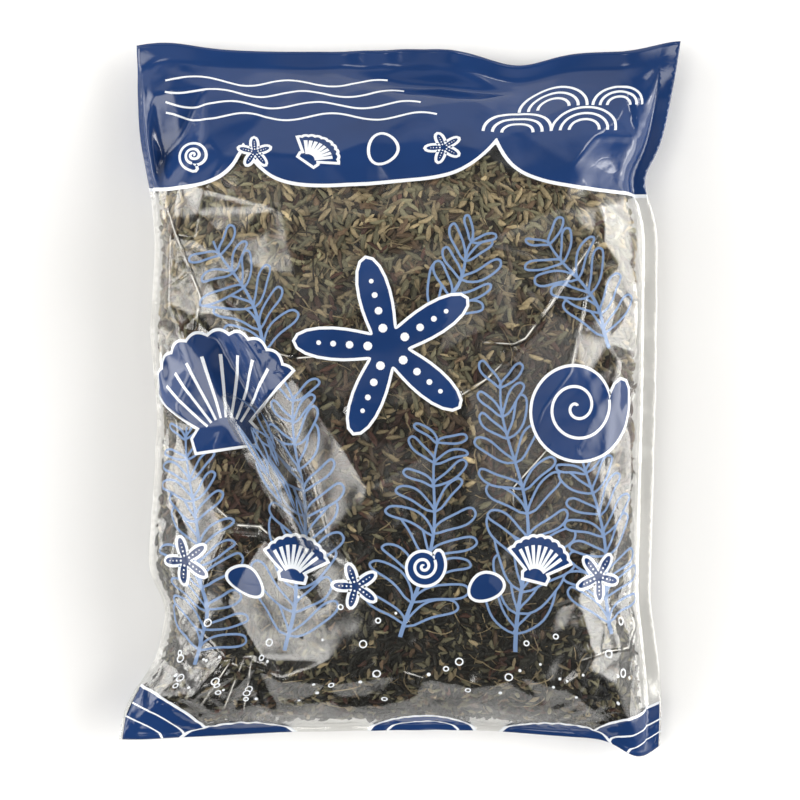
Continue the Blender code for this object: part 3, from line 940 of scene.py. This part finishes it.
def seaweed_sheets(front, back):
    """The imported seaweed's outer surface under each film: smoother than the film, and never over it."""
    under = softened(front, 24)
    under[..., 2] = np.minimum(under[..., 2], front[..., 2])
    under = softened(under - grid_normals(front) * GAP_UNDER_FRONT, 2)
    over = back.copy()
    over[..., 2] += GAP_OVER_BACK
    return Sheet(under), Sheet(over)


def is_packed(u, v):
    """Which flat places lie over seaweed: the top of the pouch and its very edges are empty."""
    s, t = np.interp(u, FLAT_U, COLUMN_S), np.interp(v, FLAT_V, ROW_T)
    edge = 0.655 + 0.02 * np.sin(9 * s) + 0.012 * np.sin(23 * s + 1)
    least = np.maximum(np.where(s < 0, 0.07, 0.22) * (1.0 - 0.6 * smooth(-t, 0.80, 0.92)), 0.08)
    return (t < edge) & (fullness(s, t) > least)


def scattered(spacing, draw):
    """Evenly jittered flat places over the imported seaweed."""
    u = np.arange(FLAT_U[SEAL_STEPS], FLAT_U[-SEAL_STEPS - 1], spacing)
    v = np.arange(FLAT_V[0], FLAT_V[-1], spacing * 0.87)
    u, v = np.meshgrid(u, v)
    u[1::2] += spacing / 2
    u = u.ravel() + draw.uniform(-0.5, 0.5, u.size) * spacing
    v = v.ravel() + draw.uniform(-0.5, 0.5, v.size) * spacing
    kept = is_packed(u, v)
    return u[kept], v[kept]


def is_upper(points):
    """Which points belong to the upper clump."""
    return points[:, 1] > SPLIT_HEIGHT + SPLIT_SLOPE * points[:, 0]


def leaf_kinds(segments, rings, draw):
    """Dried leaves a unit long, each a wrinkled spindle with its own bend, and the triangles they share."""
    bpy.ops.object.select_all(action="DESELECT")
    bpy.ops.mesh.primitive_uv_sphere_add(segments=segments, ring_count=rings, radius=0.5)
    ball = bpy.context.object
    points = np.array([tuple(vertex.co) for vertex in ball.data.vertices])[:, [2, 0, 1]]
    ball.data.calc_loop_triangles()
    faces = np.array(sorted(tuple(triangle.vertices) for triangle in ball.data.loop_triangles))
    bpy.data.objects.remove(ball, do_unlink=True)
    kinds = []
    for _ in range(LEAF_KINDS):
        shape = points.copy()
        along = shape[:, 0:1]
        girth = np.cos(np.clip(along * 2, -1, 1) * math.pi / 2) ** 0.55 * (1.0 + 0.3 * along)
        turned = np.linalg.norm(shape[:, 1:], axis=1, keepdims=True)
        shape[:, 1:] = shape[:, 1:] / np.maximum(turned, 1e-6) * girth * 0.5
        shape[:, 1:] *= draw.uniform(0.78, 1.22, (len(shape), 1))
        shape[:, 0] += draw.uniform(-0.03, 0.03, len(shape))
        bend, twist = draw.uniform(-0.9, 0.9), draw.uniform(-1.0, 1.0)
        shape[:, 1] += bend * (shape[:, 0] ** 2 - 0.08) * 2.0
        shape[:, 2] += twist * (shape[:, 0] ** 2 - 0.08) * 1.2
        kinds.append(shape)
    return kinds, faces


def flow(points, draw, spread):
    """The direction of each leaf round the outward axis: neighbours lie roughly alike."""
    x, y = points[:, 0], points[:, 1]
    turn = 2.4 * np.sin(31 * x + 17 * y + 1.0) + 1.9 * np.cos(27 * y - 12 * x) + 1.2 * np.sin(66 * x - 40 * y)
    return turn + draw.normal(0.0, spread, len(x))


# The leaves' colours, tan, olive, brown and rust, each with its share of the leaves at the top of the pouch,
# in the middle and at the foot. The rest are black
LEAF_TONES = [((0.265, 0.212, 0.125), 0.42, 0.16, 0.07), ((0.142, 0.131, 0.080), 0.34, 0.12, 0.20),
              ((0.086, 0.056, 0.034), 0.22, 0.30, 0.08), ((0.052, 0.022, 0.015), 0.04, 0.28, 0.05)]
BLACK_LEAF = (0.011, 0.011, 0.008)


def leaf_colours(points, draw):
    """A colour for each leaf: tan and olive high up, reddish brown in the middle, black-green low down."""
    x, y = points[:, 0], points[:, 1]
    wander = 0.018 * np.sin(38 * x + 1.0) + 0.012 * np.sin(71 * x + 24 * y)
    high = smooth(y + wander, -0.02, 0.06)
    low = smooth(-(y - wander), 0.045, 0.090)
    chance = draw.random(len(y))
    colour = np.tile(np.array(BLACK_LEAF), (len(y), 1))
    reached = np.zeros(len(y))
    for tone, at_top, in_middle, at_foot in LEAF_TONES:
        share = np.clip(at_top * high + in_middle * (1 - high - low) + at_foot * low, 0, 1)
        chosen = (chance >= reached) & (chance < reached + share)
        colour[chosen] = tone
        reached = reached + share
    colour = colour * np.exp(draw.normal(-0.15, 0.36, (len(y), 1)))
    return colour * (1.0 + 0.35 * smooth(y, 0.03, 0.09))[:, None]


def seaweed_piece(name, clump, points, faces, colours, finish):
    """One clump's part of the seaweed, with a colour at each point."""
    mesh = new_piece(f"{name}_{clump['name']}", points, faces, [finish], clump["slot"], clump["node"])
    tint = mesh.color_attributes.new("tint", "FLOAT_COLOR", "POINT")
    opaque = np.column_stack([colours, np.ones(len(colours))])
    tint.data.foreach_set("color", opaque.astype(np.float32).ravel())


def scatter_leaves(name, sheet, side, clump, depth, shade, kinds, faces, finish, draw):
    """One clump's layer of leaves under the front film, at side 1, or over the back film, at side -1."""
    u, v = scattered(clump["spacing"] * (1.0 if side > 0 else BACK_SPACING), draw)
    points, outward = sheet.at(u, v), sheet.normal_at(u, v) * side
    mine = is_upper(points) == (clump is UPPER)
    u, v, points, outward = u[mine], v[mine], points[mine], outward[mine]
    turn = flow(points, draw, 0.85)[:, None]
    count = len(u)
    shapes = np.array(kinds)[draw.integers(0, len(kinds), count)]
    length = draw.uniform(*clump["length"], (count, 1))
    width = draw.uniform(*clump["width"], (count, 1))
    x = shapes[..., 0] * length
    y, z = shapes[..., 1] * width, shapes[..., 2] * width * 0.8
    roll = draw.uniform(0, 2 * math.pi, (count, 1))
    y, z = y * np.cos(roll) - z * np.sin(roll), y * np.sin(roll) + z * np.cos(roll)
    tilt = draw.normal(0.0, 0.22, (count, 1))
    x, z = x * np.cos(tilt) - z * np.sin(tilt), x * np.sin(tilt) + z * np.cos(tilt)
    z = z - z.max(axis=1, keepdims=True) - draw.uniform(*depth, (count, 1))
    at_u = u[:, None] + x * np.cos(turn) - y * np.sin(turn)
    at_v = v[:, None] + x * np.sin(turn) + y * np.cos(turn)
    at_u = np.clip(at_u, FLAT_U[SEAL_STEPS] + 0.001, FLAT_U[-SEAL_STEPS - 1] - 0.001)
    at_v = np.maximum(at_v, FLAT_V[SEAL_STEPS] + 0.001)
    laid = sheet.at(at_u.ravel(), at_v.ravel()).reshape(*x.shape, 3)
    laid = laid + z[..., None] * outward[:, None]
    corners = shapes.shape[1]
    numbered = faces[None] + (np.arange(count) * corners)[:, None, None]
    # Each layer's shade scales its leaves' colours down: painted shade for deeper and underside leaves
    tints = np.repeat(leaf_colours(points, draw) * shade, corners, axis=0)
    triangles = [tuple(face) for face in numbered.reshape(-1, 3).tolist()]
    seaweed_piece(name, clump, laid.reshape(-1, 3), triangles, tints, finish)


def stem_tube(sheet, draw):
    """A thin curling stem as rings of points, and whether it is an upper one, or None off the seaweed."""
    u, v = draw.uniform(-0.12, 0.12), draw.uniform(-0.17, 0.12)
    heading = draw.uniform(0, 2 * math.pi)
    reach = draw.uniform(0.0007, 0.0019)
    steps = np.arange(STEM_STEPS)
    curl = np.cumsum(draw.normal(0, 0.16, STEM_STEPS)) + draw.normal(0, 0.06) * steps
    us = u + np.cumsum(np.cos(heading + curl)) * reach
    vs = v + np.cumsum(np.sin(heading + curl)) * reach
    if not is_packed(us, vs).all():
        return None
    points, outward = sheet.at(us, vs), sheet.normal_at(us, vs)
    deep = 0.0004 + 0.0009 * (1 + np.sin(steps * draw.uniform(0.2, 0.6) + heading))
    line = points - outward * deep[:, None]
    beside = np.cross(outward, unit(np.gradient(line, axis=0)))
    radius = draw.uniform(0.00022, 0.00045) * (1.0 - 0.6 * np.linspace(0, 1, STEM_STEPS) ** 2)
    ring = np.linspace(0, 2 * math.pi, STEM_SIDES + 1)[:-1, None]
    rings = beside[:, None] * np.cos(ring) + outward[:, None] * np.sin(ring)
    tube = line[:, None] + rings * radius[:, None, None]
    return tube.reshape(-1, 3), is_upper(points[:1])[0]


def stem_faces(first):
    """The faces of a stem whose rings of points are numbered from first, with both its ends closed."""
    last = first + (STEM_STEPS - 1) * STEM_SIDES
    faces = [tuple(range(first, first + STEM_SIDES))[::-1], tuple(range(last, last + STEM_SIDES))]
    for ring in range(first, last, STEM_SIDES):
        for side in range(STEM_SIDES):
            a, b = ring + side, ring + (side + 1) % STEM_SIDES
            faces.append((a, b, b + STEM_SIDES, a + STEM_SIDES))
    return faces


def scatter_stems(sheet, finish, draw):
    """The thin curling stems that lie among the top leaves."""
    tubes, colours = {True: [], False: []}, {True: [], False: []}
    for _ in range(STEM_COUNT):
        stem = stem_tube(sheet, draw)
        if stem is None:
            continue
        tube, upper = stem
        tubes[upper].append(tube)
        base = np.array(PALE_STEM if draw.random() < PALE_STEMS else DARK_STEM)
        colours[upper].append(np.tile(base * draw.uniform(0.6, 1.2), (len(tube), 1)))
    for clump, upper in ((UPPER, True), (LOWER, False)):
        points = np.concatenate(tubes[upper])
        starts = range(0, len(points), STEM_STEPS * STEM_SIDES)
        faces = [face for first in starts for face in stem_faces(first)]
        seaweed_piece("stems", clump, points, faces, np.concatenate(colours[upper]), finish)


def packed_core(clumps, finish):
    """The seaweed mass that shows between the leaves, as one closed body, painted near black as the shade
    there.
    """
    across = np.sin(np.linspace(-1, 1, 91) * math.pi / 2) * CORE_REACH
    s, t = np.meshgrid(across, np.linspace(-CORE_REACH, CORE_TOP, 121))
    slump = CORNER_SLUMP * smooth(-s, 0.25, 0.95) + 0.05 * smooth(s, 0.6, 0.95)
    t = t + 0.6 * slump * (CORE_TOP - t) / (CORE_TOP + CORE_REACH)
    u, v = np.interp(s.ravel(), COLUMN_S, FLAT_U), np.interp(t.ravel(), ROW_T, FLAT_V)
    sheets = []
    for sheet, side in zip(clumps, (1, -1)):
        points, outward = sheet.at(u, v), sheet.normal_at(u, v) * side
        deep = CORE_DEPTH + lumps(points[:, 0] * 3, points[:, 1] * 3, 0.0005)
        sheets.append(points - outward * deep[:, None])
    number = np.arange(s.size).reshape(s.shape)
    quads = [number[:-1, :-1], number[:-1, 1:], number[1:, 1:], number[1:, :-1]]
    quads = np.stack(quads, axis=-1).reshape(-1, 4)
    rim = np.concatenate([number[0], number[1:, -1], number[-1, -2::-1], number[-2:0:-1, 0]])
    ahead = np.roll(rim, -1)
    sides = np.stack([ahead, rim, rim + s.size, ahead + s.size], axis=1)
    faces = np.concatenate([quads, quads[:, ::-1] + s.size, sides]).tolist()
    points = np.concatenate(sheets)
    new_piece("packed_core", points, faces, [finish], "brown_seaweed", "hijiki_upper", "hijiki_lower")


class Tree:
    """A material's or the world's nodes, with short ways to add, set and link them."""

    def __init__(self, tree):
        self.nodes, self.links = tree.nodes, tree.links

    def fill(self, node, sockets):
        """Links each named socket to the output given for it, or sets its constant value."""
        for name, value in sockets.items():
            if isinstance(value, bpy.types.NodeSocket):
                self.links.new(value, node.inputs[name])
            else:
                node.inputs[name].default_value = value

    def add(self, kind, sockets, **settings):
        """A new node, and its outputs by name or number."""
        node = self.nodes.new(f"ShaderNode{kind}")
        for name, value in settings.items():
            setattr(node, name, value)
        self.fill(node, sockets)
        return node.outputs

    def object_place(self):
        """Where a point lies in its piece."""
        return self.add("TexCoord", {})["Object"]

    def flat_place(self):
        """Where a point lies on the flat film."""
        return self.add("UVMap", {}, uv_map="flat_film")["UV"]

    def attribute(self, name, output="Fac"):
        """A value, or a colour, that the mesh holds at each point."""
        return self.add("Attribute", {}, attribute_name=name)[output]

    def noise(self, place, scale, detail, dimensions="3D"):
        """Soft noise, as a value (Fac) and a colour (Color)."""
        sockets = {"Vector": place, "Scale": scale, "Detail": detail}
        return self.add("TexNoise", sockets, noise_dimensions=dimensions)

    def math(self, operation, *values):
        """A sum done on one, two or three values."""
        return self.add("Math", dict(enumerate(values)), operation=operation)["Value"]

    def vector(self, operation, *values):
        """A sum done on vectors or colours."""
        return self.add("VectorMath", dict(enumerate(values)), operation=operation)["Vector"]

    def scaled(self, vector, scale):
        """A vector or colour times a value."""
        return self.add("VectorMath", {0: vector, "Scale": scale}, operation="SCALE")["Vector"]

    def rise(self, value, low, high):
        """0 below low, 1 above high, and an even S-curve between them."""
        sockets = {"Value": value, "From Min": low, "From Max": high}
        return self.add("MapRange", sockets, interpolation_type="SMOOTHSTEP")["Result"]

    def ramp(self, value, low, low_colour, high, high_colour):
        """One colour up to low, another from high on, and a blend between them."""
        node = self.nodes.new("ShaderNodeValToRGB")
        self.fill(node, {"Fac": value})
        ends = node.color_ramp.elements
        ends[0].position, ends[0].color = low, (*low_colour, 1.0)
        ends[1].position, ends[1].color = high, (*high_colour, 1.0)
        return node.outputs["Color"]

    def bump(self, height, strength, distance, over=None):
        """The surface's direction with a relief on it, over another relief if one is given."""
        sockets = {"Height": height, "Strength": strength, "Distance": distance}
        if over:
            sockets["Normal"] = over
        return self.add("Bump", sockets)["Normal"]

    def mixed(self, share, first, second):
        """Two shaders, of which the second has the given share."""
        return self.add("MixShader", {"Fac": share, 1: first, 2: second})["Shader"]


def new_material(name):
    """A new material, its nodes, and its shader and output."""
    made = bpy.data.materials.new(name)
    made.use_nodes = True
    nodes = made.node_tree.nodes
    return made, Tree(made.node_tree), nodes["Principled BSDF"], nodes["Material Output"]


def film_relief(tree):
    """The film's finest shape, as a bump: a faint unevenness, crumpled places, and its sharp creases."""
    place = tree.flat_place()
    level = tree.bump(tree.noise(place, 180.0, 1.0, "2D")["Fac"], 0.06, 0.0006)
    straying = tree.noise(place, 60.0, 0.0, "2D")
    strayed = tree.vector("MULTIPLY_ADD", straying["Color"], (0.018, 0.018, 0.018), place)
    cells = tree.add("TexVoronoi", {"Vector": strayed, "Scale": 85.0}, voronoi_dimensions="2D",
                     feature="DISTANCE_TO_EDGE")
    groove = tree.rise(cells["Distance"], 0.0, 0.09)
    broken = tree.math("MULTIPLY", groove, tree.rise(straying["Fac"], 0.4, 0.62))
    crumpled = tree.math("MULTIPLY", broken, tree.attribute("crumple"))
    away = tree.math("ABSOLUTE", tree.attribute("crease_side"))
    slope = tree.math("SUBTRACT", tree.rise(away, 0.0, 1.3), 1.0)
    crease = tree.math("MULTIPLY", slope, tree.attribute("crease_height"))
    return tree.bump(tree.math("SUBTRACT", crumpled, crease), 1.0, 0.0004, level)


def edge_on_share(tree, relief):
    """How much a film's surface throws back: little when seen square on, nearly all when seen edge-on."""
    facing = tree.add("LayerWeight", {"Blend": 0.5, "Normal": relief})["Facing"]
    return tree.math("MULTIPLY_ADD", tree.math("POWER", facing, 5.0), 0.95, 0.05)


def painted_crease_glint_and_shade(tree):
    """A white painted along the film's sharp creases as their highlight, and the share of light that passes
    just beside them, darkened there as painted shade.
    """
    uneven = tree.noise(tree.flat_place(), 120.0, 1.0, "2D")["Fac"]
    side, height = tree.attribute("crease_side"), tree.attribute("crease_height")
    # A painted highlight: white along each crease, broken by noise, over a faint milkiness everywhere
    broken = tree.math("MULTIPLY", tree.rise(uneven, 0.32, 0.56), height)
    line = tree.rise(tree.math("ABSOLUTE", side), 0.55, 0.1)
    white = tree.math("MULTIPLY_ADD", tree.math("MULTIPLY", line, broken), 0.75, 0.004)
    # Painted shade: a dark line just beside each crease, which darkens the light passing there
    beside = tree.math("ABSOLUTE", tree.math("SUBTRACT", side, 1.15))
    dark = tree.math("MULTIPLY", tree.rise(beside, 0.75, 0.2), height)
    return white, tree.math("MULTIPLY_ADD", dark, -0.5, 1.0)


def clear_film():
    """Clear glossy film: light passes straight through, apart from what its surface throws back. Along its
    creases a white is painted as highlight, and just beside them painted shade darkens what passes.
    """
    made, tree, shader, output = new_material("clear_film")
    tree.nodes.remove(shader)
    relief = film_relief(tree)
    white, passed_under_painted_shade = painted_crease_glint_and_shade(tree)
    # The light passing through is darkened beside the creases as painted shade
    through = tree.add("BsdfTransparent", {"Color": tree.scaled((0.975, 0.974, 0.966), passed_under_painted_shade)})["BSDF"]
    # The diffuse white: a faint milkiness everywhere, and a painted highlight along the creases
    milk_and_painted_glint = tree.add("BsdfDiffuse", {"Color": (0.94, 0.92, 0.86, 1.0)})["BSDF"]
    gloss = {"Color": (1.0, 1.0, 1.0, 1.0), "Roughness": 0.13, "Normal": relief}
    gloss = tree.add("BsdfGlossy", gloss)["BSDF"]
    film = tree.mixed(edge_on_share(tree, relief), tree.mixed(white, through, milk_and_painted_glint), gloss)
    tree.fill(output, {"Surface": film})
    return made


# The inks, each with its share of clouding
INKS = [("deep_blue_ink", (0.012, 0.038, 0.132), 0.14), ("white_ink", (0.80, 0.83, 0.87), 0.04),
        ("pale_blue_ink", (0.17, 0.255, 0.43), 0.10)]


def ink_film(name, colour, spread):
    """Film with one ink behind it: an even colour with faint clouding under a clear gloss."""
    made, tree, shader, _ = new_material(name)
    dull = [c * (1 - spread) for c in colour]
    bright = [min(1.0, c * (1 + spread)) for c in colour]
    cloud = tree.noise(tree.object_place(), 22.0, 3.0)["Fac"]
    tree.fill(shader, {"Base Color": tree.ramp(cloud, 0.3, dull, 0.7, bright), "Roughness": 0.5,
                       "Specular IOR Level": 0.0, "Coat Weight": 1.0, "Coat Roughness": 0.10,
                       "Coat Normal": film_relief(tree)})
    return made


def dried_seaweed():
    """Dull dried leaf: its own tint, mottled, with a wrinkled surface."""
    made, tree, shader, _ = new_material("dried_seaweed")
    place = tree.object_place()
    mottle = tree.noise(place, 900.0, 4.0)["Fac"]
    shade = tree.add("MapRange", {"Value": mottle, "To Min": 0.45, "To Max": 1.55})["Result"]
    wrinkle = tree.noise(place, 1500.0, 3.0)["Fac"]
    tree.fill(shader, {"Base Color": tree.scaled(tree.attribute("tint", "Color"), shade), "Roughness": 0.55,
                       "Specular IOR Level": 0.25, "Normal": tree.bump(wrinkle, 0.6, 0.0004)})
    return made


def core_seaweed():
    """The seaweed mass deep between the leaves, painted near black as the shade that falls there."""
    made, tree, shader, _ = new_material("painted_shade_seaweed")
    mottle = tree.noise(tree.object_place(), 350.0, 5.0)["Fac"]
    # Near-black colours: painted shade deep between the leaves
    colour = tree.ramp(mottle, 0.35, (0.006, 0.005, 0.003), 0.70, (0.035, 0.024, 0.013))
    tree.fill(shader, {"Base Color": colour, "Roughness": 0.8, "Normal": tree.bump(mottle, 0.8, 0.002)})
    return made


# The pleat in the left half, where the film lies double: its two long edges from the top down, in millimetres
PLEAT_LEFT = [(-91, 2), (-87, -12), (-68, -46), (-48, -79)]
PLEAT_RIGHT = [(-88, 4), (-72, -4), (-50, -38), (-43, -76)]
PLEAT_STEPS = 60
PLEAT_COLUMNS = 9
PLEAT_WIDTH = 0.011


def along_line(line, count):
    """Points at equal steps along a line given in millimetres, in metres."""
    line = np.array(line, float) / 1000
    share = flat_lengths(line) / flat_lengths(line)[-1]
    steps = np.linspace(0, 1, count)
    return np.stack([np.interp(steps, share, line[:, axis]) for axis in (0, 1)], axis=1)


def pleat_sheet(front):
    """The doubled strip of film, which bridges its valley and tucks its edges into the film below."""
    left, right = along_line(PLEAT_LEFT, PLEAT_STEPS), along_line(PLEAT_RIGHT, PLEAT_STEPS)
    share = np.linspace(0.0, 1.0, PLEAT_COLUMNS)
    flat = left[:, None] + (right - left)[:, None] * share[None, :, None]
    s, t = shares_at(flat[..., 0], flat[..., 1])
    u, v = np.interp(s, COLUMN_S, FLAT_U), np.interp(t, ROW_T, FLAT_V)
    below = front.at(u.ravel(), v.ravel()).reshape(*u.shape, 3)
    end_left, end_right = below[:, :1], below[:, -1:]
    points = end_left + (end_right - end_left) * share[None, :, None]
    points[..., 2] = np.maximum(points[..., 2], below[..., 2])
    points[..., 2] += 0.0011 * np.sin(math.pi * np.clip(share * 1.02, 0, 1)) + 0.0003
    points = points[::-1]
    return Sheet(points, PLEAT_WIDTH * share, flat_lengths(points[:, PLEAT_COLUMNS // 2]))


def pleat_print(tall):
    """The line drawing that the doubled film shows, squeezed into long streaks."""
    draw = np.random.default_rng(SEED + 5)
    drawn = []
    for _ in range(9):
        share = np.linspace(0, 1, 24)
        long, start = draw.uniform(14, 34), draw.uniform(4, tall - 30)
        x = draw.uniform(1.5, 9.5) + draw.uniform(-2.5, 2.5) * share
        wide = draw.uniform(0.3, 1.3) * np.sin(math.pi * share)
        right = path(x + wide, start + long * share)
        left = path(x - wide, start + long * share)[::-1]
        drawn += loop(np.concatenate([right, left[1:-1]]), PALE, 0.6)
    return drawn


def build_film():
    """The printed films and the pleat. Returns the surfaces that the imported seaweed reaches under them."""
    inks = [clear_film()] + [ink_film(*ink) for ink in INKS]
    front, back = film_grids()
    film_panel("printed_front", Sheet(front), 1, front_print(), 2.2, inks, "film_front", "front_film")
    pleat = pleat_sheet(Sheet(front))
    streaks = pleat_print(pleat.bounds()[3])
    film_panel("front_pleat", pleat, 1, streaks, 1.6, inks, "film_front", "front_film")
    film_panel("printed_back", Sheet(back), -1, back_print(), 3.2, inks, "film_back", "back_film")
    return seaweed_sheets(front, back)


def build_seaweed(clumps):
    """The leaves in their layers, the stems and the core, between the two surfaces given."""
    draw = np.random.default_rng(SEED + 2)
    finish = dried_seaweed()
    fine = leaf_kinds(5, 5, draw)
    plain = leaf_kinds(4, 4, draw)
    under, over = clumps
    for clump in (UPPER, LOWER):
        for name, (film, depth, shade) in LAYERS.items():
            sheet, side = (under, 1) if film == "front" else (over, -1)
            kinds, faces = fine if name == "top_leaves" else plain
            scatter_leaves(name, sheet, side, clump, depth, shade, kinds, faces, finish, draw)
    scatter_stems(under, finish, draw)
    packed_core(clumps, core_seaweed())


# The photograph's view, taken as 800 x 800 pixels
VIEW_WIDTH = 0.4155
LENS = 85.0
SENSOR = 36.0
RIM_LEVEL = 0.024


def photo_camera():
    """Looks straight down on the pouch, with its top edge at the top of the picture."""
    data = bpy.data.cameras.new("photo_camera")
    data.lens = LENS
    data.sensor_width = SENSOR
    camera = bpy.data.objects.new("photo_camera", data)
    camera.location = (0.0, 0.0, RIM_LEVEL + VIEW_WIDTH * LENS / SENSOR)
    bpy.context.scene.collection.objects.link(camera)
    bpy.context.scene.camera = camera


# The soft lights round the pouch: polar angle and azimuth, the angles within which each is full and beyond
# which it is gone, all in degrees, and its brightness. The last one darkens: it stands for a black flag
SOFT_LIGHTS = [(30, 198, 3, 20, 4.7), (22, 350, 2, 17, 0.8), (24, 115, 4, 24, 0.4), (70, 0, 8, 36, 6.2),
               (72, 180, 8, 32, 5.6), (42, 307, 1, 8, 4.0), (42, 127, 1, 8, 4.0), (54, 250, 1, 7, 7.0),
               (64, 215, 1, 7, 7.0), (62, 20, 1, 7, 9.0), (66, 60, 1, 8, 9.0), (86, 270, 24, 54, -0.9)]
DARKEST = 0.02
# The surround's brightness by height, from 0 at the floor's level and below it to 1 overhead
SURROUND_LEVELS = [(0.0, 0.8), (0.30, 0.9), (0.50, 0.10), (1.0, 0.02)]
WARM = (1.0, 0.985, 0.955)


def surround():
    """A pale surround with soft-edged lights, dark overhead, where level film mirrors it to the camera."""
    world = bpy.data.worlds.new("pale_surround")
    world.use_nodes = True
    tree = Tree(world.node_tree)
    direction = tree.add("TexCoord", {})["Generated"]
    ramp = tree.nodes.new("ShaderNodeValToRGB")
    tree.fill(ramp, {"Fac": tree.add("SeparateXYZ", {"Vector": direction})["Z"]})
    stops = ramp.color_ramp.elements
    for height, _ in SURROUND_LEVELS[1:-1]:
        stops.new(height)
    for stop, (_, light) in zip(stops, SURROUND_LEVELS):
        stop.color = (light, light, light, 1.0)
    total = ramp.outputs["Color"]
    for polar, azimuth, full, gone, brightness in SOFT_LIGHTS:
        polar, azimuth = math.radians(polar), math.radians(azimuth)
        aim = (math.sin(polar) * math.cos(azimuth), math.sin(polar) * math.sin(azimuth), math.cos(polar))
        near = tree.add("VectorMath", {0: direction, 1: aim}, operation="DOT_PRODUCT")["Value"]
        share = tree.rise(near, math.cos(math.radians(gone)), math.cos(math.radians(full)))
        total = tree.vector("MULTIPLY_ADD", share, [brightness * tone for tone in WARM], total)
    total = tree.vector("MAXIMUM", total, (DARKEST, DARKEST, DARKEST))
    tree.fill(tree.nodes["Background"], {"Color": total})
    bpy.context.scene.world = world


def studio():
    """A plain white floor under soft lights, with a pale surround."""
    bpy.ops.object.select_all(action="DESELECT")
    bpy.ops.mesh.primitive_plane_add(size=8.0, location=(0.0, 0.0, 0.0))
    floor = bpy.context.object
    floor.name = "studio_floor"
    made, tree, shader, _ = new_material("white_floor")
    tree.fill(shader, {"Base Color": (0.95, 0.95, 0.95, 1.0), "Roughness": 0.9})
    floor.data.materials.append(made)
    surround()
    scene = bpy.context.scene
    scene.view_settings.view_transform = "Standard"
    scene.cycles.transparent_max_bounces = 24
    scene.cycles.diffuse_bounces = 2
    scene.cycles.glossy_bounces = 2


photo_camera()
studio()
build_seaweed(build_film())
